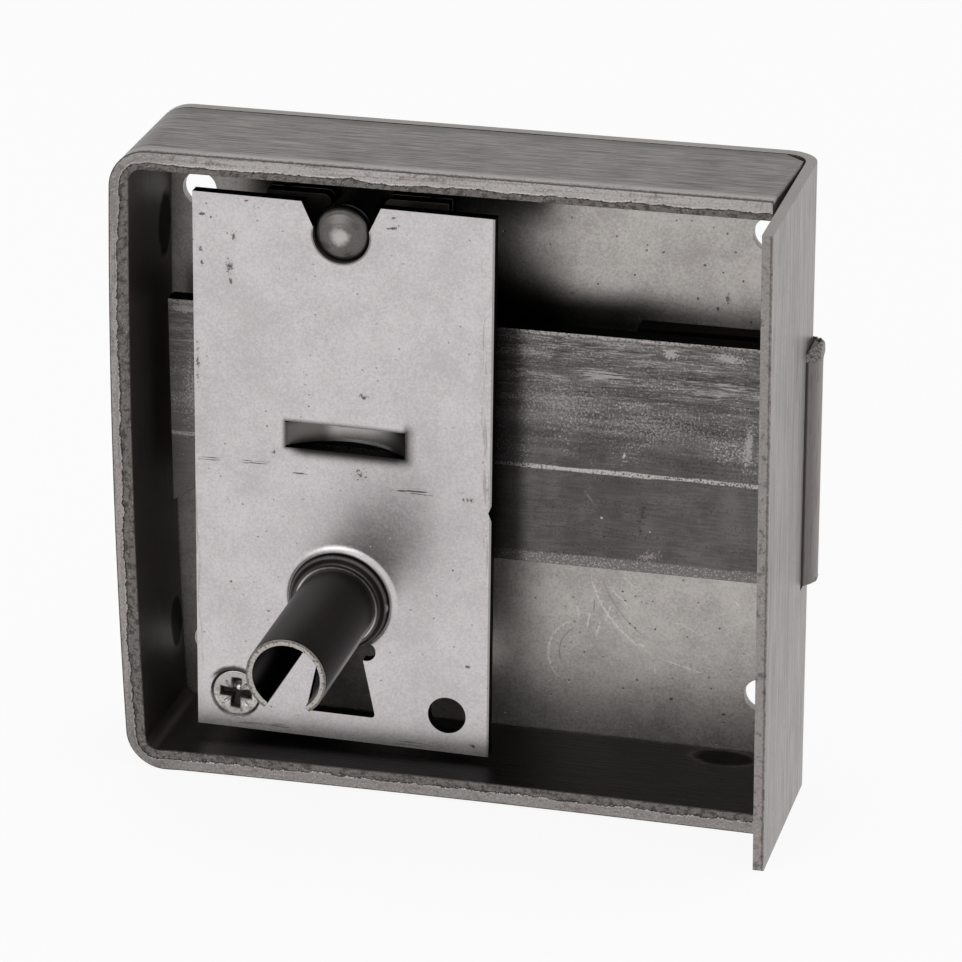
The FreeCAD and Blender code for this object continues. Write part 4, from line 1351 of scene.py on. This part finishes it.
@dataclass
class CoverScrew:
    """The countersunk screw with a tapered cross recess, in millimetres."""

    front: float = 6.02
    head: float = 2.9
    neck: float = 1.48
    head_depth: float = 1.35
    length: float = 8.0
    reach: float = 2.0
    half_width: float = 0.62
    depth: float = 1.1
    turn: float = math.radians(3.8)

    def build(self) -> bpy.types.Object:
        """Turns the screw, then presses the cross into its face.

        The recess is the union of two rectangles: its depth grows with the distance inside their outline up
        to a floor that deepens towards the axis. A small star of ribs stands between the arms, and a crumb
        of torn metal beside the middle.

        Returns:
            The screw.
        """
        r = np.linspace(0, self.head - 0.08, 84)
        face = self.front + 0.05 * (r / self.head) ** 2
        rest = rounded_profile([
            (self.head - 0.08, float(face[-1])), (self.head, self.front + 0.1),
            (self.neck, self.front + self.head_depth), (self.neck, self.front + self.length - 0.4),
            (self.neck - 0.4, self.front + self.length), (0.0, self.front + self.length)], 0.1)
        profile = np.concatenate([np.stack([r, face], -1), rest[1:]])
        skin = turned_skin("cross_recess_screw", (0.0, 0.0), profile, 240)
        x, y, z = (skin.points[..., i] for i in range(3))
        a = x * math.cos(self.turn) - z * math.sin(self.turn)
        b = x * math.sin(self.turn) + z * math.cos(self.turn)
        edge = 0.05 * lattice_noise(a + 9, b + 9, 0.7, 31)
        arms = [np.maximum(np.abs(p) - self.reach, np.abs(q) - self.half_width) for p, q in ((a, b), (b, a))]
        inside = edge - np.minimum(*arms)
        radius = np.hypot(a, b)
        on_face = (np.arange(len(profile)) < len(r))[:, None]
        sunk = smooth_step(inside, 0.0, 0.26) * on_face
        floor = self.depth * (1 - 0.35 * radius / self.reach)
        crumb = np.exp(-(((a - 0.30) / 0.70) ** 2 + ((b - 0.55) / 0.55) ** 2) ** 2)
        rib = smooth_step(np.abs(np.sin(2 * np.arctan2(b, a))), 0.97, 1.0)
        rib = 0.16 * rib * smooth_step(radius, 0.8, 1.0) * (1 - smooth_step(radius, 1.6, 2.1)) * on_face
        skin.points[..., 1] = y + np.maximum(sunk * floor * (1 - 0.7 * crumb), rib)
        skin.points += np.array([SCREW_AT[0], 0.0, SCREW_AT[1]])
        outline = np.exp(-(inside / 0.10) ** 2) * on_face
        skin.values = {"sunk": sunk * (1 - crumb), "bright": sunk * crumb, "edge": outline * (1 - crumb)}
        return place_piece(skin.build(Finishes.SCREW.material), Body.CASE, "screw_steel", "cover_screw")


@dataclass
class NoseBurr:
    """The ragged lump that shearing and striking left round one end of the bolt's nose, in millimetres."""

    name: str
    height: float
    half_height: float
    thickness: float
    seed: int
    x: float = 53.2
    y: float = 13.7
    radius: float = 2.95
    from_degrees: float = -76.0
    to_degrees: float = 84.0
    limit_x: float = 56.39
    clear_x: float = 55.65
    slot_low: float = 5.12
    slot_high: float = 34.98
    slot_front: float = 10.32

    def build(self) -> bpy.types.Object:
        """Carries an oval round the nose: it swells to the middle, shrinks to both ends, and is lumpy.

        Its half width is thickness · sqrt(1 − s⁴) · lumps, its half height the same share of half_height, and
        lumps is 0.75 plus two value noises. What the bolt draws into the face plate stays within the slot.

        Returns:
            The burr.
        """
        s = np.linspace(-1, 1, 150)[:, None]
        middle, half = (self.from_degrees + self.to_degrees) / 2, (self.to_degrees - self.from_degrees) / 2
        turn = np.radians(middle + half * s)
        ring = np.linspace(0, 2 * np.pi, 41)[None, :]
        run = self.radius * turn
        lump = 0.75 + 0.30 * lattice_noise(run + 9, 1.2 * np.cos(ring) + 3, 0.7, self.seed)
        lump = lump + 0.14 * lattice_noise(run + 9, 1.6 * np.sin(ring) + 5, 0.28, self.seed + 1)
        share = np.clip(1 - s ** 4, 0, 1) ** 0.5 * lump
        out = self.radius + self.thickness * share * np.cos(ring)
        x = np.minimum(self.x + out * np.cos(turn), self.limit_x)
        room = 3.0 * np.maximum(x - self.clear_x, 0)
        y = np.maximum(self.y + out * np.sin(turn), self.slot_front - room)
        z = self.height + self.half_height * share * np.sin(ring)
        z = np.clip(z, self.slot_low - room, self.slot_high + room)
        skin = Skin(self.name, np.stack([x, y, z], -1))
        return place_piece(skin.build(Finishes.BURR.material), Body.BOLT, "bolt_steel")


# Stage

@dataclass
class Studio:
    """Camera, lamps, world and floor."""

    eye: tuple[float, float, float] = (0.150834, -0.516403, 0.238760)
    right: tuple[float, float, float] = (0.96887, 0.24756, 0.0)
    up: tuple[float, float, float] = (-0.09417, 0.36854, 0.92483)
    forward: tuple[float, float, float] = (-0.22895, 0.89604, -0.38038)
    roll: float = math.radians(-0.141)
    lens: float = 185.33
    aim: tuple[float, float, float] = (0.014, 0.0, 0.017)
    floor_z: float = -0.0223
    floor_half: float = 3.0

    def camera(self) -> None:
        """Sets the camera at the photograph's place, with its columns right, up and back."""
        data = bpy.data.cameras.new("camera")
        data.lens = self.lens
        data.sensor_width = 36.0
        data.clip_start = 0.02
        right, up, forward = Vector(self.right), Vector(self.up), Vector(self.forward)
        cosine, sine = math.cos(self.roll), math.sin(self.roll)
        side = right * cosine + up * sine
        over = up * cosine - right * sine
        camera = in_scene("camera", data)
        turn = Matrix((side, over, -forward)).transposed().to_4x4()
        camera.matrix_world = Matrix.Translation(self.eye) @ turn
        bpy.context.scene.camera = camera

    def lamp(self, name: str, place: tuple[float, float, float], size: float, watts: float) -> None:
        """Adds a square soft lamp that looks at the lock's middle.

        Args:
            name: its name.
            place: where it stands, in metres.
            size: its side, in metres.
            watts: its power.
        """
        data = bpy.data.lights.new(name, "AREA")
        data.size = size
        data.energy = watts
        lamp = in_scene(name, data)
        lamp.location = place
        lamp.rotation_euler = (Vector(self.aim) - Vector(place)).to_track_quat("-Z", "Y").to_euler()

    def shown(self, tree: Tree) -> Socket:
        """1 in a node tree for camera, glossy and transmission rays, which see the white background."""
        rays = (add(tree, "LightPath", out=f"Is {ray} Ray") for ray in ("Camera", "Glossy", "Transmission"))
        return reduce(lambda one, two: add(tree, "Math", {0: one, 1: two}, operation="MAXIMUM"), rays)

    def world(self) -> None:
        """White where it is seen, a plain grey light elsewhere."""
        world = bpy.data.worlds.new("studio")
        world.use_nodes = True
        tree = world.node_tree
        tree.nodes.clear()
        strength = add(tree, "Math", {0: self.shown(tree), 1: 0.4, 2: 0.6}, operation="MULTIPLY_ADD")
        light = add(tree, "Background", {"Color": hex_linear("#FFFFFF"), "Strength": strength})
        add(tree, "OutputWorld", {"Surface": light})
        bpy.context.scene.world = world

    def floor(self) -> None:
        """A plain floor under the lock that is white where it is seen and keeps a pale shadow."""
        reach = np.linspace(-self.floor_half, self.floor_half, 7)
        x, y = np.meshgrid(reach, reach, indexing="ij")
        points = np.stack([x, y, np.full_like(x, self.floor_z)], -1).reshape(-1, 3)
        mesh = bpy.data.meshes.new("floor")
        mesh.from_pydata(points.tolist(), [], grid_quads(len(reach), len(reach)))
        material = bpy.data.materials.new("white_paper")
        material.use_nodes = True
        tree = material.node_tree
        tree.nodes.clear()
        paper = add(tree, "BsdfDiffuse", {"Color": hex_linear("#F4F4F4")})
        glow = add(tree, "Emission", {"Color": hex_linear("#FFFFFF"), "Strength": 1.0})
        part = add(tree, "Math", {0: self.shown(tree), 1: 0.9}, operation="MULTIPLY")
        add(tree, "OutputMaterial", {"Surface": add(tree, "MixShader", {0: part, 1: paper, 2: glow})})
        mesh.materials.append(material)
        in_scene("floor", mesh)

    def build(self) -> None:
        """Sets up everything that isn't the lock."""
        self.camera()
        self.world()
        self.floor()
        self.lamp("soft_front", (-0.35, -0.9, 0.55), 0.7, 2.2)
        self.lamp("soft_top", (0.2, 0.1, 0.9), 0.8, 1.2)
        bpy.context.scene.view_settings.view_transform = "Standard"


# Whole lock

@dataclass
class CabinetLock:
    """All the lock's pieces."""

    sheets: tuple[CadSheet, ...] = (
        CadSheet("lock_plate", "folded_lock_plate", Body.CASE, "plate_steel", Finishes.PLATE, 0.14),
        CadSheet("cover_plate", "pressed_cover_plate", Body.CASE, "cover_steel", Finishes.COVER, 0.13, 3),
        CadSheet("bolt", "folded_bolt", Body.BOLT, "bolt_steel", Finishes.BOLT, 0.16, 3),
        CadSheet("bolt_stump", "staked_stump", Body.BOLT, "pin_steel", Finishes.PIN, 0.08),
        CadSheet("cover_post", "tapped_post", Body.CASE, "pin_steel", Finishes.PIN, 0.08),
        CadSheet("guide_pin", "shouldered_pin", Body.CASE, "pin_steel", Finishes.PIN, 0.08),
        CadSheet("tumbler_front", "front_slide", Body.FRONT_TUMBLER, "tumbler_steel", Finishes.TUMBLER, 0.10),
        CadSheet("tumbler_rear", "rear_slide", Body.REAR_TUMBLER, "tumbler_steel", Finishes.TUMBLER, 0.10),
        LeafSpring("tumbler_spring_front", "front_leaf", Body.CASE, "spring_steel", Finishes.SPRING, 0.03, 1,
                   joint="front_tumbler_lift"),
        LeafSpring("tumbler_spring_rear", "rear_leaf", Body.CASE, "spring_steel", Finishes.SPRING, 0.03, 1,
                   joint="rear_tumbler_lift"),
    )
    burrs: tuple[NoseBurr, ...] = (NoseBurr("nose_burr_top", 34.05, 1.25, 0.58, 41),
                                   NoseBurr("nose_burr_bottom", 5.55, 0.35, 0.42, 51))

    def build(self) -> None:
        """Builds and dresses every piece."""
        for piece in (RimStrip(), KeyTube(), TopStud(), CoverScrew(), *self.sheets, *self.burrs):
            piece.build()


def main() -> None:
    """Builds the studio and the lock."""
    logging.basicConfig(level=logging.INFO, format="%(name)s: %(message)s")
    Studio().build()
    CabinetLock().build()


if __name__ == "__main__":
    main()
